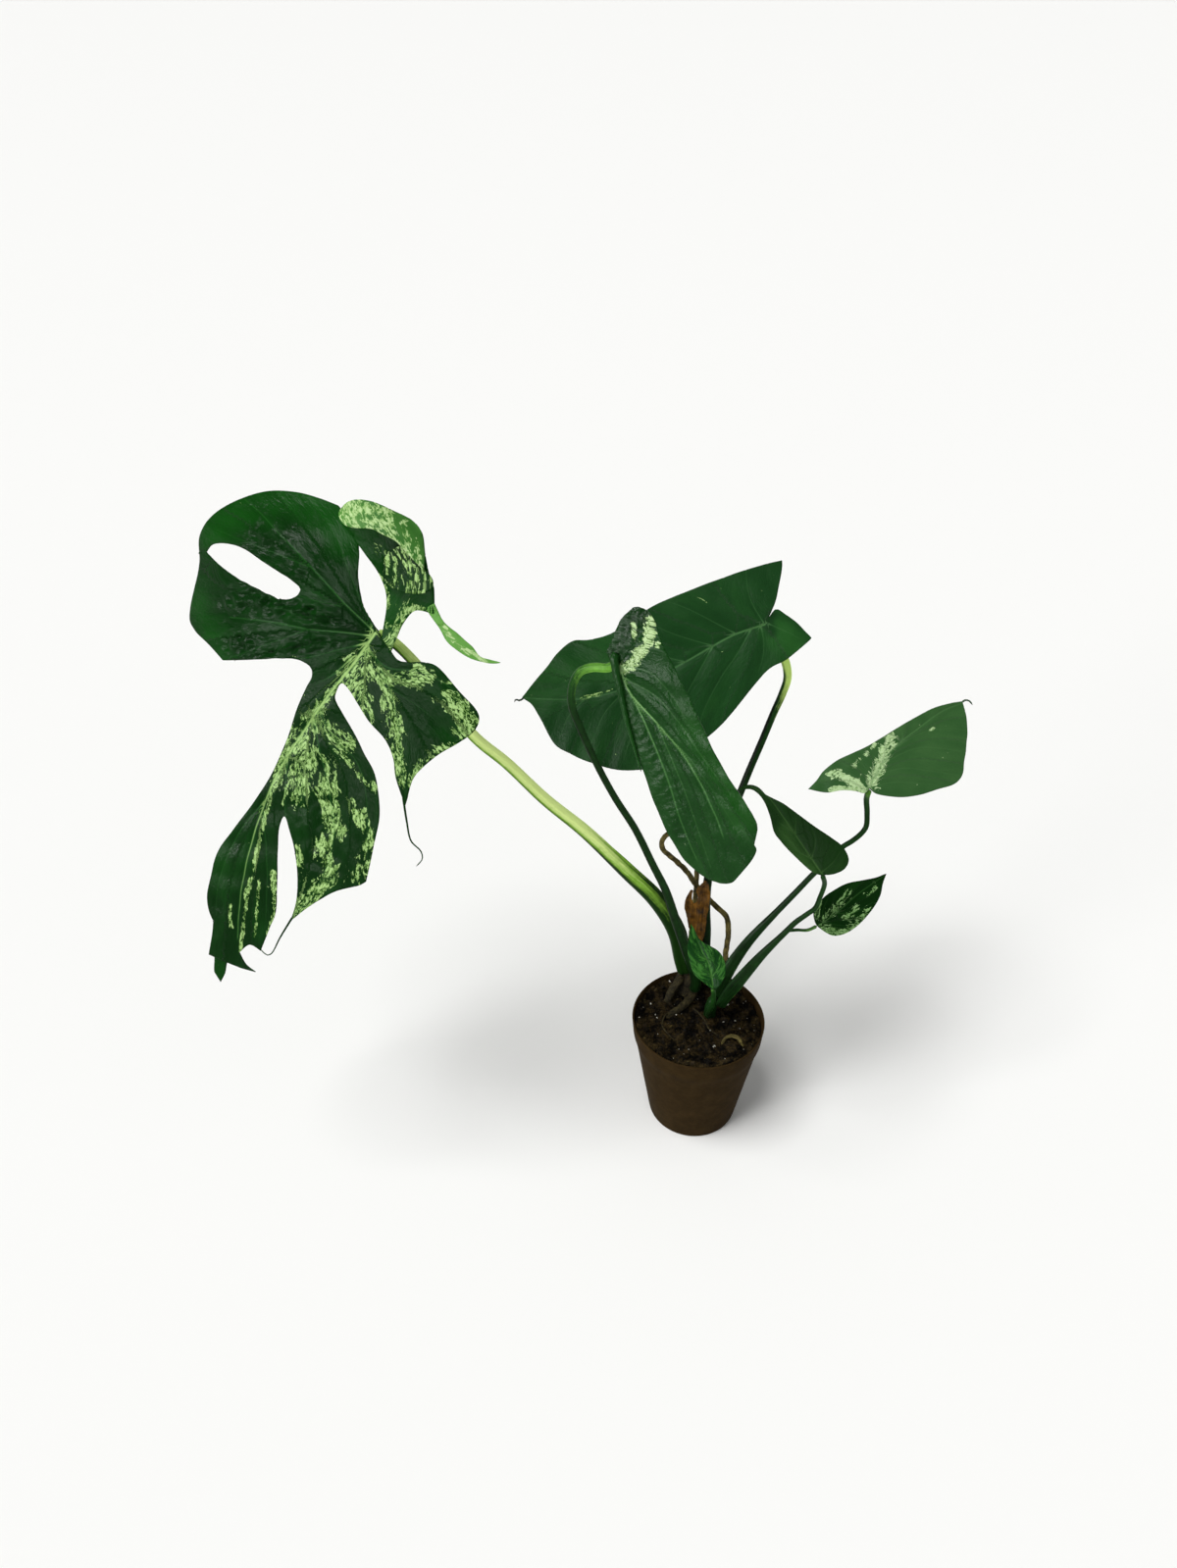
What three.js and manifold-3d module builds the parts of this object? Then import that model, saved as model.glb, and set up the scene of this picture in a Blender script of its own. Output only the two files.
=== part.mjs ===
// A potted variegated monstera: seven leaf blades on their petioles, two short stems,
// aerial and surface roots, a dried leaf sheath, soil and a round nursery pot.
// Millimetres, +Z up, origin at the centre of the pot's underside. The leaves face -Y.
import * as THREE from "three";
import { mergeVertices } from "three/addons/utils/BufferGeometryUtils.js";
import Module from "manifold-3d";

const wasm = await Module();
wasm.setup();

// Driving dimensions of the pot.
const POT_HEIGHT = 118;
const POT_TOP_RADIUS = 60;
const POT_BASE_RADIUS = 41;
const POT_WALL = 1.6;
const RIM_BAND_HEIGHT = 20;
const RIM_BAND_PROUD = 2;
const POT_SIDES = 48;
const FOOT_RING_WIDTH = 7;
const CENTRE_PAD_RADIUS = 15;
const UNDERSIDE_RECESS = 3;
const FLOOR_THICKNESS = 2;
const DRAIN_HOLES = 8;
const DRAIN_HOLE_RADIUS = 3.5;
const DRAIN_CIRCLE_RADIUS = 25;

// Driving dimensions of the soil, which is heaped at the front and slack at the right.
const SOIL_LEVEL = 111;
const SOIL_HEAP = 3;
const SOIL_SLACK = 5;
const SOIL_LUMP = 1.3;
const SOIL_RINGS = 7;
const SOIL_SECTORS = 28;

// What touches keeps this clearance. A blade's thickness is the sheet's, without its ribs.
const GAP = 0.3;
const BLADE_THICKNESS = 1;
const CUTTER_REACH = 26;
const PRISM_REACH = 150;
const EDGE_SEGMENTS = 1;

const COLOURS = {
  pot: 0x3d301d,
  soil: 0x1e180e,
  bark: 0x4a3f27,
  root: 0x54492b,
  dry: 0x6b4a1e,
  green: 0x1f5a20,
  midGreen: 0x2f6a2a,
  paleGreen: 0x9fc36b,
  petiole: 0xa9cb5e,
  darkPetiole: 0x24451f,
};

// Each blade lies in a chart of its own: x to the right and y up, as its upper face is seen,
// with the petiole's seat at 0, 0. The edge is a list of smooth runs. A run starts where the
// last one ended, so the runs meet in corners.
const BLADES = {
  split_leaf: {
    seat: [-247, -20, 520],
    turn: -9,
    lean: 21,
    tip: [-118, -260],
    sag: -27,
    crease: 0.1,
    roll: [0.0014, 0.0024],
    arch: 0.00035,
    back: 0.001,
    ripple: 1.2,
    veinPitch: 34,
    grid: 13,
    rib: 1.6,
    edge: [
      [[-8, 18], [-12, 36], [-12, 55], [-17, 72], [-29, 84]],
      [[-44, 88], [-63, 91], [-87, 90], [-114, 82], [-137, 70], [-150, 55], [-150, 37],
        [-156, 16], [-162, -5], [-155, -14], [-139, -22], [-124, -32]],
      [[-98, -28], [-74, -24], [-57, -23], [-47, -27], [-46, -34], [-51, -43], [-58, -59],
        [-70, -90], [-87, -121], [-113, -156], [-129, -178], [-139, -209], [-141, -224],
        [-137, -237]],
      [[-141, -255], [-145, -269]],
      [[-130, -274], [-119, -277], [-105, -278]],
      [[-113, -273], [-118, -263]],
      [[-108, -254], [-99, -258]],
      [[-90, -237], [-83, -220], [-79, -187], [-76, -155], [-71, -141], [-67, -151],
        [-63, -177], [-65, -208], [-72, -228]],
      [[-58, -215], [-44, -204], [-32, -196], [-14, -189], [-8, -185]],
      [[-2, -158], [3, -136], [3, -118], [0, -100], [-8, -86], [-15, -72], [-24, -57],
        [-29, -46], [-25, -37], [-18, -41], [-5, -61], [8, -74], [14, -87], [16, -102],
        [23, -122]],
      [[28, -103], [36, -92], [48, -81], [60, -73], [71, -64], [75, -55], [72, -47],
        [61, -36], [46, -20], [35, -17], [25, -18], [17, -17], [11, -10], [2, 1]],
    ],
    holes: [
      [[-142, 44], [-135, 50], [-120, 52], [-104, 50], [-85, 42], [-68, 35], [-56, 28],
        [-56, 23], [-62, 19], [-73, 18], [-88, 22], [-107, 28], [-128, 36]],
    ],
    colour: COLOURS.green,
  },
  heart_leaf: {
    seat: [40, 80, 474],
    turn: 8,
    lean: 36,
    tip: [-196, -43],
    sag: 0,
    crease: 0.16,
    roll: [0.003, 0.002],
    arch: 0.0005,
    back: 0.002,
    ripple: 0.8,
    veinPitch: 28,
    grid: 13,
    rib: 1.2,
    edge: [
      [[-184, -29], [-174, -19], [-165, -9], [-153, -1], [-139, -1], [-119, 4], [-91, 20],
        [-72, 27], [-43, 36], [-10, 45], [16, 50]],
      [[15, 43], [9, 21], [2, 6]],
      [[8, 12], [15, 8], [24, 1], [35, -12]],
      [[32, -15], [13, -28], [-1, -34], [-14, -46], [-41, -74], [-61, -89], [-78, -99],
        [-92, -104], [-122, -104], [-146, -96], [-161, -88], [-173, -79], [-183, -57],
        [-188, -47], [-195, -41]],
    ],
    holes: [],
    colour: COLOURS.green,
  },
  hanging_leaf: {
    seat: [-81, -20, 497],
    turn: -22,
    lean: 14,
    tip: [100, -150],
    sag: 0,
    crease: 0.1,
    roll: [0.005, 0.005],
    arch: 0.0004,
    back: 0.003,
    ripple: 0.6,
    veinPitch: 26,
    grid: 12,
    rib: 1.2,
    edge: [
      [[-4, 16], [0, 30], [6, 38], [11, 41], [19, 39], [25, 32], [32, 19], [49, -6],
        [60, -23], [82, -58], [105, -87], [111, -95], [115, -104], [115, -117]],
      [[117, -121], [115, -129], [110, -139], [104, -150], [99, -153]],
      [[93, -154], [84, -152], [74, -147], [62, -136], [46, -112], [29, -76], [14, -40],
        [7, -23], [1, -10], [-7, 7]],
    ],
    holes: [],
    colour: COLOURS.midGreen,
  },
  right_leaf: {
    seat: [129, 34, 347],
    turn: 6,
    lean: 42,
    tip: [94, 72.5],
    sag: 0,
    crease: 0.14,
    roll: [0.004, 0.004],
    arch: 0.0012,
    back: 0.004,
    ripple: 0.5,
    veinPitch: 20,
    grid: 11,
    rib: 0.8,
    edge: [
      [[94.5, 64], [94, 51], [90.5, 35], [86.5, 21], [82.5, 8], [74, 1.5], [59, -2], [44, -5.5],
        [29, -7], [16, -5.5], [5.5, -2.5], [1, 2]],
      [[-4, -1.5], [-10.5, 0.5], [-22, 2], [-34.5, 1], [-49, 5]],
      [[-41.5, 12], [-35.5, 19], [-24.5, 26.5], [-10.5, 32], [2.5, 37], [17.5, 44.5], [34, 53],
        [50, 60.5], [65.5, 67], [82.5, 71], [94, 72.5]],
    ],
    holes: [],
    colour: COLOURS.midGreen,
  },
  dark_leaf: {
    seat: [86, -22, 305],
    turn: -8,
    lean: 30,
    tip: [-48, 54],
    sag: 0,
    crease: 0.16,
    roll: [0.006, 0.006],
    arch: 0.002,
    back: 0.006,
    ripple: 0,
    veinPitch: 16,
    grid: 10,
    rib: 0.6,
    edge: [
      [[-67.5, 64], [-61.5, 66], [-55, 64.5], [-48, 59], [-35, 54], [-21.5, 46], [-8.5, 38],
        [4, 31], [14.5, 24], [20, 14.5], [17.5, 6.5], [9.5, 1.5], [-0.5, -0.5]],
      [[-9, 2.5], [-26, 16], [-34, 23.5], [-40, 30.5], [-44, 42], [-49, 52.5], [-55, 59.5],
        [-62, 62.5], [-73, 60]],
    ],
    holes: [],
    colour: COLOURS.green,
  },
  marbled_leaf: {
    seat: [95, 0, 229],
    turn: 10,
    lean: 38,
    tip: [74, 36.5],
    sag: 0,
    crease: 0.18,
    roll: [0.006, 0.006],
    arch: 0.0025,
    back: 0.006,
    ripple: 0,
    veinPitch: 14,
    grid: 10,
    rib: 0.6,
    edge: [
      [[62, 34.5], [50, 34], [32, 33], [17, 28], [7, 22.5], [-1.5, 13.5], [-1.5, 4], [1.5, -1]],
      [[7, -6], [13.5, -9.5], [23.5, -9], [35, -4.5], [47, 3.5], [57, 12], [63.5, 19.5],
        [68, 28.5], [74, 36.5]],
    ],
    holes: [],
    colour: COLOURS.paleGreen,
  },
  young_leaf: {
    seat: [7, -24, 179],
    turn: -6,
    lean: 32,
    tip: [-22, 53],
    sag: 0,
    crease: 0.25,
    roll: [0.01, 0.01],
    arch: 0.003,
    back: 0.01,
    ripple: 0,
    veinPitch: 12,
    grid: 8,
    rib: 0.5,
    edge: [
      [[-23, 41], [-23.5, 31], [-20.5, 20.5], [-16.5, 11.5], [-9, 5.5], [-0.5, -0.5]],
      [[5, 2.5], [9.5, 11.5], [10, 19.5], [7, 28], [2.5, 33], [-3.5, 36], [-9.5, 38],
        [-15, 42.5], [-18.5, 48.5], [-22, 53]],
    ],
    holes: [],
    colour: COLOURS.paleGreen,
  },
};

// The split leaf's right basal lobe stands up on a narrow neck and curls over on itself, and
// its left margin hangs under as a tongue. Each is a sheet of its own in the leaf's chart,
// lifted off the blade by its own rule and grown together with it.
const CURL_SLOPE = 0.22;
const CURL_START = 4;
const CAP_CENTRE = [-2, 40];
const CAP_RADIUS = 47;
const CAP_RISE = 10;
const CAP_ROUND = 6;
const FLAP_FOOT = 8;
const FLAP_RISE = 5;
const FLAP_ROUND = 7;
const TONGUE_DROP = 5;

const curlLift = (x, y) => CURL_SLOPE * Math.max(0, y - CURL_START);

function capLift(x, y) {
  const inside = CAP_RADIUS - Math.hypot(x - CAP_CENTRE[0], y - CAP_CENTRE[1]);
  return curlLift(x, y) + CAP_RISE * (1 - Math.exp(-Math.max(inside, 0) / CAP_ROUND));
}

function flapLift(x, y) {
  const inside = Math.max(x - FLAP_FOOT, 0);
  return curlLift(x, y) + 1 + FLAP_RISE * (1 - Math.exp(-inside / FLAP_ROUND));
}

const SPLIT_LEAF_SHEETS = [
  {
    lift: curlLift,
    edge: [
      [[4, -6], [6, 4], [9, 18], [9, 30], [4, 43], [-4, 54], [-13, 65], [-21, 74], [-21, 81],
        [-9, 88], [3, 87], [17, 82], [28, 77], [35, 69], [37, 56], [40, 42], [43, 34], [43, 16]],
      [[35, 18], [28, 17], [20, 7], [15, -4], [10, -14], [0, -12]],
    ],
  },
  {
    lift: capLift,
    edge: [
      [[38, 57], [35, 70], [28, 78], [17, 83], [3, 88], [-9, 89], [-17, 86], [-20, 80],
        [-15, 73], [-8, 71], [4, 71], [11, 68], [20, 64], [27, 57], [38, 46]],
    ],
  },
  {
    lift: flapLift,
    edge: [
      [[42, 43], [44, 36], [38, 31], [26, 30], [17, 32], [9, 38], [10, 52], [23, 61], [32, 51]],
    ],
  },
  {
    lift: (x, y) => curlLift(x, Math.max(y, 16)),
    edge: [
      [[38, 19], [47, 7], [52, -1], [59, -6.5], [67, -11], [73, -13], [82, -14.5], [89, -13.5],
        [82, -12], [75, -10], [70, -4], [65, 0], [59, 5], [53, 9], [48, 14], [43, 24]],
    ],
  },
  {
    lift: (x, y) => -TONGUE_DROP * THREE.MathUtils.smoothstep(-y, 256, 276),
    edge: [
      [[-145, -285], [-144, -290], [-141, -297]],
      [[-136, -288], [-134, -281], [-128, -258], [-130, -246], [-137, -250], [-142, -266]],
    ],
  },
];

// Drip threads at the ends of the split leaf's lobes, as points in its chart.
const THREAD_RADIUS = 0.8;
const THREADS = [
  [[-69, -223], [-81, -243], [-90, -259], [-94, -261], [-101, -255]],
  [[21, -114], [24, -134], [27, -149], [34, -156], [35, -162], [30, -169]],
];

// The hanging leaf's left basal margin is rolled into a tapering quill.
const QUILL = {
  path: [[-1, 8], [2, -5], [7, -20], [14, -40]],
  radius: [3.4, 3, 3, 3.2],
  lift: 3.4,
};

// Stems, petioles and roots: points of the centre line from the foot up, and pairs of full
// width and thickness spread evenly along it. The width lies across the line of sight.
const LIMBS = {
  main_stem: {
    path: [[-7, 41, 72], [-7, 40, 100], [-7, 40, 122], [-6, 40, 138]],
    size: [[18, 18], [22, 21], [21, 20], [19, 18]],
    sides: 12,
    steps: 6,
    colour: COLOURS.bark,
  },
  side_shoot: {
    path: [[10, 10, 80], [11, 9, 105], [12, 9, 122], [14, 9, 134]],
    size: [[9, 9], [12, 11], [11, 11], [9, 9]],
    sides: 10,
    steps: 4,
    colour: COLOURS.darkPetiole,
  },
  split_leaf_petiole: {
    path: [[-10, 38, 136], [-14, 37, 153], [-22, 35, 192], [-41, 31, 232], [-67, 25, 271],
      [-100, 18, 321], [-131, 12, 358], [-160, 6, 397], [-185, 2, 422], [-213, -5, 472],
      [-236, -12, 508], [-249, -19, 524]],
    size: [[17, 12], [17, 12], [16, 12], [15, 11], [13, 11], [11, 10], [10, 9], [9, 9], [9, 8]],
    sides: 8,
    steps: 22,
    stopsAt: ["main_stem"],
    blade: "split_leaf",
    colour: COLOURS.petiole,
  },
  hanging_leaf_petiole: {
    path: [[-2, 27, 124], [-2, 22, 144], [-12, 21, 179], [-23, 20, 215], [-34, 19, 253],
      [-46, 17, 283], [-62, 13, 324], [-79, 10, 358], [-94, 6, 394], [-107, 2, 431],
      [-112, -1, 449], [-112, -4, 467], [-106, -7, 482], [-97, -11, 488], [-87, -15, 490],
      [-78, -20, 494]],
    size: [[10, 9], [9, 8], [8, 7], [6.5, 6], [6, 6], [5.5, 5.5], [5.5, 5.5], [6, 6], [7, 6.5]],
    sides: 8,
    steps: 22,
    stopsAt: ["main_stem", "split_leaf_petiole"],
    blade: "hanging_leaf",
    colour: COLOURS.darkPetiole,
  },
  heart_leaf_petiole: {
    path: [[5, 42, 137], [7, 42, 154], [7, 44, 181], [5, 47, 214], [7, 51, 251], [19, 58, 290],
      [35, 69, 340], [45, 75, 369], [53, 80, 393], [59, 83, 410], [62, 85, 424], [59, 87, 438],
      [49, 86, 455], [40, 80, 477]],
    size: [[9, 8], [9, 8], [8, 7], [7, 6.5], [6.5, 6], [6, 6], [6, 6], [7, 7], [7, 6]],
    sides: 8,
    steps: 18,
    stopsAt: ["main_stem", "split_leaf_petiole", "hanging_leaf_petiole"],
    blade: "heart_leaf",
    colour: COLOURS.darkPetiole,
  },
  right_leaf_petiole: {
    path: [[17, 13, 121], [19, 13, 138], [23, 14, 156], [32, 17, 176], [43, 20, 195], [63, 25, 221],
      [79, 29, 241], [94, 33, 260], [116, 38, 285], [124, 40, 290], [131, 42, 296],
      [135, 44, 302], [134, 45, 317], [131, 43, 332], [129, 34, 349]],
    size: [[9, 7], [14, 7], [10, 6], [6, 5], [5, 4.5], [4.5, 4.5], [4.5, 4.5], [5, 5]],
    sides: 8,
    steps: 16,
    stopsAt: ["side_shoot"],
    blade: "right_leaf",
    colour: COLOURS.darkPetiole,
  },
  dark_leaf_petiole: {
    path: [[19, 4, 127], [24, 3, 142], [33, 1, 162], [50, 0, 194], [68, -2, 224], [75, -3, 236],
      [84, -5, 248], [89, -7, 256], [91, -9, 269], [92, -13, 287], [86, -24, 307]],
    size: [[9, 8], [12, 7], [9, 6], [5.5, 5], [4.5, 4], [4, 4], [4, 4]],
    sides: 8,
    steps: 15,
    stopsAt: ["side_shoot", "right_leaf_petiole"],
    blade: "dark_leaf",
    colour: COLOURS.darkPetiole,
  },
  marbled_leaf_petiole: {
    path: [[70, -2, 226], [79, 1, 224], [88, 3, 222], [96, 1, 230]],
    size: [[3, 3], [2.6, 2.6], [3, 3]],
    sides: 6,
    steps: 8,
    stopsAt: ["dark_leaf_petiole"],
    blade: "marbled_leaf",
    colour: COLOURS.darkPetiole,
  },
  young_leaf_petiole: {
    path: [[9, 2, 121], [9, -4, 130], [10, -12, 147], [9, -19, 167], [7, -25, 180]],
    size: [[5, 5], [4.5, 4.5], [4, 4]],
    sides: 8,
    steps: 8,
    stopsAt: ["side_shoot"],
    blade: "young_leaf",
    colour: COLOURS.petiole,
  },
  aerial_root: {
    path: [[27, 35, 100], [27, 36, 128], [26, 38, 151], [26, 40, 164], [27, 42, 174],
      [27, 46, 186], [25, 50, 195], [17, 54, 202], [10, 57, 208], [-3, 58, 225], [-13, 55, 244],
      [-25, 51, 261], [-35, 48, 274], [-37, 48, 282], [-33, 50, 289], [-27, 54, 288],
      [-14, 64, 278], [-5, 70, 258], [-2, 70, 225], [-3, 66, 185], [-5, 58, 152], [-6, 47, 126]],
    size: [[6, 6], [5, 5], [5, 5], [4.5, 4.5], [4.5, 4.5], [4.5, 4.5], [5, 5]],
    sides: 6,
    steps: 30,
    stopsAt: ["main_stem"],
    colour: COLOURS.root,
  },
  surface_root: {
    path: [[-1, 33, 122], [-4, 25, 119], [-15, 14, 115], [-24, 9, 112], [-34, 4, 104]],
    size: [[8, 8], [7.5, 7], [6.5, 6], [5, 5]],
    sides: 8,
    steps: 9,
    stopsAt: ["main_stem", "hanging_leaf_petiole"],
    colour: COLOURS.root,
  },
  prop_root: {
    path: [[-12, 37, 134], [-17, 32, 130], [-23, 29, 120], [-28, 25, 104]],
    size: [[8, 8], [7.5, 7.5], [7, 7]],
    sides: 8,
    steps: 7,
    stopsAt: ["main_stem", "split_leaf_petiole"],
    colour: COLOURS.bark,
  },
};

// The dried sheath is the papery husk of an old leaf, wrapped round the heart leaf's petiole.
const DRY_SHEATH = {
  seat: [3, 34, 172],
  turn: -14,
  lean: 4,
  curl: 0.02,
  thickness: 1.1,
  grid: 6,
  edge: [
    [[-6, -20], [-7, 6], [-14, 19], [-18, 32], [-19, 41], [-15, 47], [-12, 50], [-9, 54],
      [-11, 58], [-8, 66], [-3, 74]],
    [[1, 70], [3, 56], [2, 36], [1, 16], [-1, 0], [-2, -20], [-2, -36]],
    [[-6, -36]],
  ],
};

const lerp = THREE.MathUtils.lerp;
const toVector = (point) => new THREE.Vector3(...point);

// A closed solid from a geometry whose faces meet along their edges.
function solid(geometry) {
  const bare = geometry.index ? geometry.clone() : geometry;
  bare.deleteAttribute("normal");
  bare.deleteAttribute("uv");
  const welded = mergeVertices(bare, 1e-4);
  const corners = welded.index.array;
  const kept = [];
  for (let i = 0; i < corners.length; i += 3) {
    const [a, b, c] = [corners[i], corners[i + 1], corners[i + 2]];
    if (a !== b && b !== c && c !== a) kept.push(a, b, c);
  }
  return new wasm.Manifold(new wasm.Mesh({
    numProp: 3,
    vertProperties: new Float32Array(welded.attributes.position.array),
    triVerts: new Uint32Array(kept),
  }));
}

function geometryOf(body) {
  const { vertProperties, triVerts } = body.getMesh();
  const geometry = new THREE.BufferGeometry();
  geometry.setAttribute("position", new THREE.BufferAttribute(new Float32Array(vertProperties), 3));
  geometry.setIndex(new THREE.BufferAttribute(new Uint32Array(triVerts), 1));
  return geometry;
}

function meshOf(name, body, colour, roughness) {
  const geometry = geometryOf(body);
  geometry.computeVertexNormals();
  const material = new THREE.MeshStandardMaterial({ color: colour, roughness, metalness: 0 });
  const mesh = new THREE.Mesh(geometry, material);
  mesh.name = name;
  return mesh;
}

// Rows of points joined into a closed skin: around each row, and with a fan at both ends.
function skin(rows) {
  const around = rows[0].length;
  const points = rows.flat();
  const ends = [rows[0], rows.at(-1)].map((row) => row
    .reduce((sum, point) => sum.add(point), new THREE.Vector3())
    .divideScalar(around));
  points.push(...ends);
  const [first, last] = [points.length - 2, points.length - 1];
  const index = [];
  for (let r = 0; r + 1 < rows.length; r += 1) {
    for (let i = 0; i < around; i += 1) {
      const next = (i + 1) % around;
      const a = r * around + i;
      const b = r * around + next;
      index.push(a, b, b + around, a, b + around, a + around);
    }
  }
  const top = (rows.length - 1) * around;
  for (let i = 0; i < around; i += 1) {
    const next = (i + 1) % around;
    index.push(first, next, i, last, top + i, top + next);
  }
  return indexed(points, index);
}

function indexed(points, index) {
  const geometry = new THREE.BufferGeometry().setFromPoints(points);
  geometry.setIndex(index);
  return geometry;
}

// Value of an evenly spread list of numbers at t from 0 to 1.
function spread(values, t) {
  const at = t * (values.length - 1);
  const low = Math.min(Math.floor(at), values.length - 2);
  return lerp(values[low], values[low + 1], at - low);
}

// A stem, petiole or root. A grown copy, larger by a clearance, cuts the pieces it touches.
function limbGeometry({ path, size, sides, steps }, grow = 0) {
  const curve = new THREE.CatmullRomCurve3(path.map(toVector), false, "centripetal");
  const sight = new THREE.Vector3(0, -1, 0.4).normalize();
  const rows = [];
  for (let i = 0; i <= steps; i += 1) {
    const t = i / steps;
    const centre = curve.getPointAt(t);
    const along = curve.getTangentAt(t);
    const across = along.clone().cross(sight).normalize();
    const out = across.clone().cross(along).normalize();
    if (i === 0) centre.addScaledVector(along, -grow);
    if (i === steps) centre.addScaledVector(along, grow);
    const width = spread(size.map((pair) => pair[0]), t) / 2 + grow;
    const thick = spread(size.map((pair) => pair[1]), t) / 2 + grow;
    const row = [];
    for (let k = 0; k < sides; k += 1) {
      const turn = (-2 * Math.PI * k) / sides;
      row.push(centre.clone()
        .addScaledVector(across, width * Math.cos(turn))
        .addScaledVector(out, thick * Math.sin(turn)));
    }
    rows.push(row);
  }
  return skin(rows);
}

// Height of a blade's mid surface over its chart: a crease at the midrib, margins that roll
// back, a tip that arches down, basal lobes that lean back, and a ripple between the veins.
function bladeHeight(blade) {
  const length = Math.hypot(...blade.tip);
  const [ex, ey] = blade.tip.map((value) => value / length);
  return (x, y) => {
    const along = x * ex + y * ey;
    const t = THREE.MathUtils.clamp(along / length, 0, 1);
    const beside = x * ey - y * ex - blade.sag * 4 * t * (1 - t);
    const side = beside < 0 ? 0 : 1;
    const wave = Math.sin((2 * Math.PI * (along - 0.7 * Math.abs(beside))) / blade.veinPitch);
    const fade = 1 - Math.exp(-Math.abs(beside) / 18);
    const bend = along > 0 ? blade.arch : blade.back;
    const crease = Math.sqrt(beside ** 2 + 9) - 3;
    return blade.crease * crease - blade.roll[side] * beside ** 2 - bend * along ** 2
      + blade.ripple * wave * fade;
  };
}

// A thin sheet over a rectangle of the chart, split into triangles alike on both faces.
function sheetGeometry(box, step, height, below, above) {
  const columns = Math.ceil((box.max.x - box.min.x) / step) + 1;
  const rows = Math.ceil((box.max.y - box.min.y) / step) + 1;
  const points = [];
  for (const offset of [above, -below]) {
    for (let j = 0; j < rows; j += 1) {
      for (let i = 0; i < columns; i += 1) {
        const [x, y] = [box.min.x + i * step, box.min.y + j * step];
        points.push(new THREE.Vector3(x, y, height(x, y) + offset));
      }
    }
  }
  const under = rows * columns;
  const index = [];
  for (let j = 0; j + 1 < rows; j += 1) {
    for (let i = 0; i + 1 < columns; i += 1) {
      const a = j * columns + i;
      const [b, c, d] = [a + 1, a + columns + 1, a + columns];
      index.push(a, b, c, a, c, d);
      index.push(a + under, c + under, b + under, a + under, d + under, c + under);
    }
  }
  const wall = (a, b) => index.push(a, a + under, b + under, a, b + under, b);
  for (let i = 0; i + 1 < columns; i += 1) {
    wall(i, i + 1);
    wall((rows - 1) * columns + i + 1, (rows - 1) * columns + i);
  }
  for (let j = 0; j + 1 < rows; j += 1) {
    wall((j + 1) * columns, j * columns);
    wall(j * columns + columns - 1, (j + 1) * columns + columns - 1);
  }
  return indexed(points, index);
}

// The edge's smooth runs as a closed shape, with its holes.
function edgeShape(edge, holes = []) {
  const trace = (path, runs) => {
    path.moveTo(...runs.at(-1).at(-1));
    for (const run of runs) path.splineThru(run.map((point) => new THREE.Vector2(...point)));
    return path;
  };
  const shape = trace(new THREE.Shape(), edge);
  for (const hole of holes) shape.holes.push(trace(new THREE.Path(), [hole]));
  return shape;
}

// One sheet of a blade: the height field cut to its edge.
function sheetSolid({ edge, holes, thickness = BLADE_THICKNESS }, height, step) {
  const shape = edgeShape(edge, holes);
  const points = shape.getPoints(EDGE_SEGMENTS);
  const box = new THREE.Box2().setFromPoints(points).expandByScalar(step);
  const field = sheetGeometry(box, step, height, thickness / 2, thickness / 2);
  const prism = new THREE.ExtrudeGeometry(shape, {
    depth: 2 * PRISM_REACH,
    bevelEnabled: false,
    curveSegments: EDGE_SEGMENTS,
  });
  prism.translate(0, 0, -PRISM_REACH);
  return solid(field).intersect(solid(prism));
}

// The raised rib under the midrib, tapering to the tip.
function ribGeometry(blade, height) {
  const length = Math.hypot(...blade.tip);
  const [ex, ey] = blade.tip.map((value) => value / length);
  const path = [];
  for (let i = 0; i <= 6; i += 1) {
    const t = 0.02 + 0.84 * (i / 6);
    const beside = blade.sag * 4 * t * (1 - t);
    const [x, y] = [length * t * ex + beside * ey, length * t * ey - beside * ex];
    path.push([x, y, height(x, y) - BLADE_THICKNESS / 2]);
  }
  const root = [2 * blade.rib + 1, 2 * blade.rib + 1];
  return limbGeometry({ path, size: [root, [1.4, 1.4]], sides: 4, steps: 6 });
}

// A thread or quill along points of the chart, at a height over the blade.
function chartLimb(points, diameters, height, lift) {
  const path = points.map(([x, y]) => [x, y, height(x, y) + lift]);
  const size = diameters.map((diameter) => [diameter, diameter]);
  return limbGeometry({ path, size, sides: 4, steps: 2 * points.length });
}

function bladeSolid(name, blade) {
  const height = bladeHeight(blade);
  let body = sheetSolid(blade, height, blade.grid).add(solid(ribGeometry(blade, height)));
  if (name === "split_leaf") {
    for (const sheet of SPLIT_LEAF_SHEETS) {
      const lifted = (x, y) => height(x, y) + sheet.lift(x, y);
      body = body.add(sheetSolid(sheet, lifted, blade.grid));
    }
    for (const thread of THREADS) {
      body = body.add(solid(chartLimb(thread, [2 * THREAD_RADIUS, 2 * THREAD_RADIUS], height, 0)));
    }
  }
  if (name === "hanging_leaf") {
    const diameters = QUILL.radius.map((radius) => 2 * radius);
    body = body.add(solid(chartLimb(QUILL.path, diameters, height, QUILL.lift)));
  }
  return body;
}

// Where a chart's mesh stands: its seat, turned about Z and leant back from upright.
function place(object, { seat, turn, lean }) {
  object.position.set(...seat);
  const [tilt, heading] = [90 - lean, turn].map(THREE.MathUtils.degToRad);
  object.rotation.set(tilt, 0, heading, "ZXY");
  object.updateMatrix();
  return object;
}

// All that lies above a blade's underside near its seat, less the clearance.
function bladeCutter(blade) {
  const height = bladeHeight(blade);
  const box = new THREE.Box2(new THREE.Vector2(-24, -24), new THREE.Vector2(24, 24));
  const below = BLADE_THICKNESS / 2 + GAP;
  const geometry = sheetGeometry(box, 4, height, below, CUTTER_REACH);
  geometry.applyMatrix4(place(new THREE.Object3D(), blade).matrix);
  return solid(geometry);
}

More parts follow.
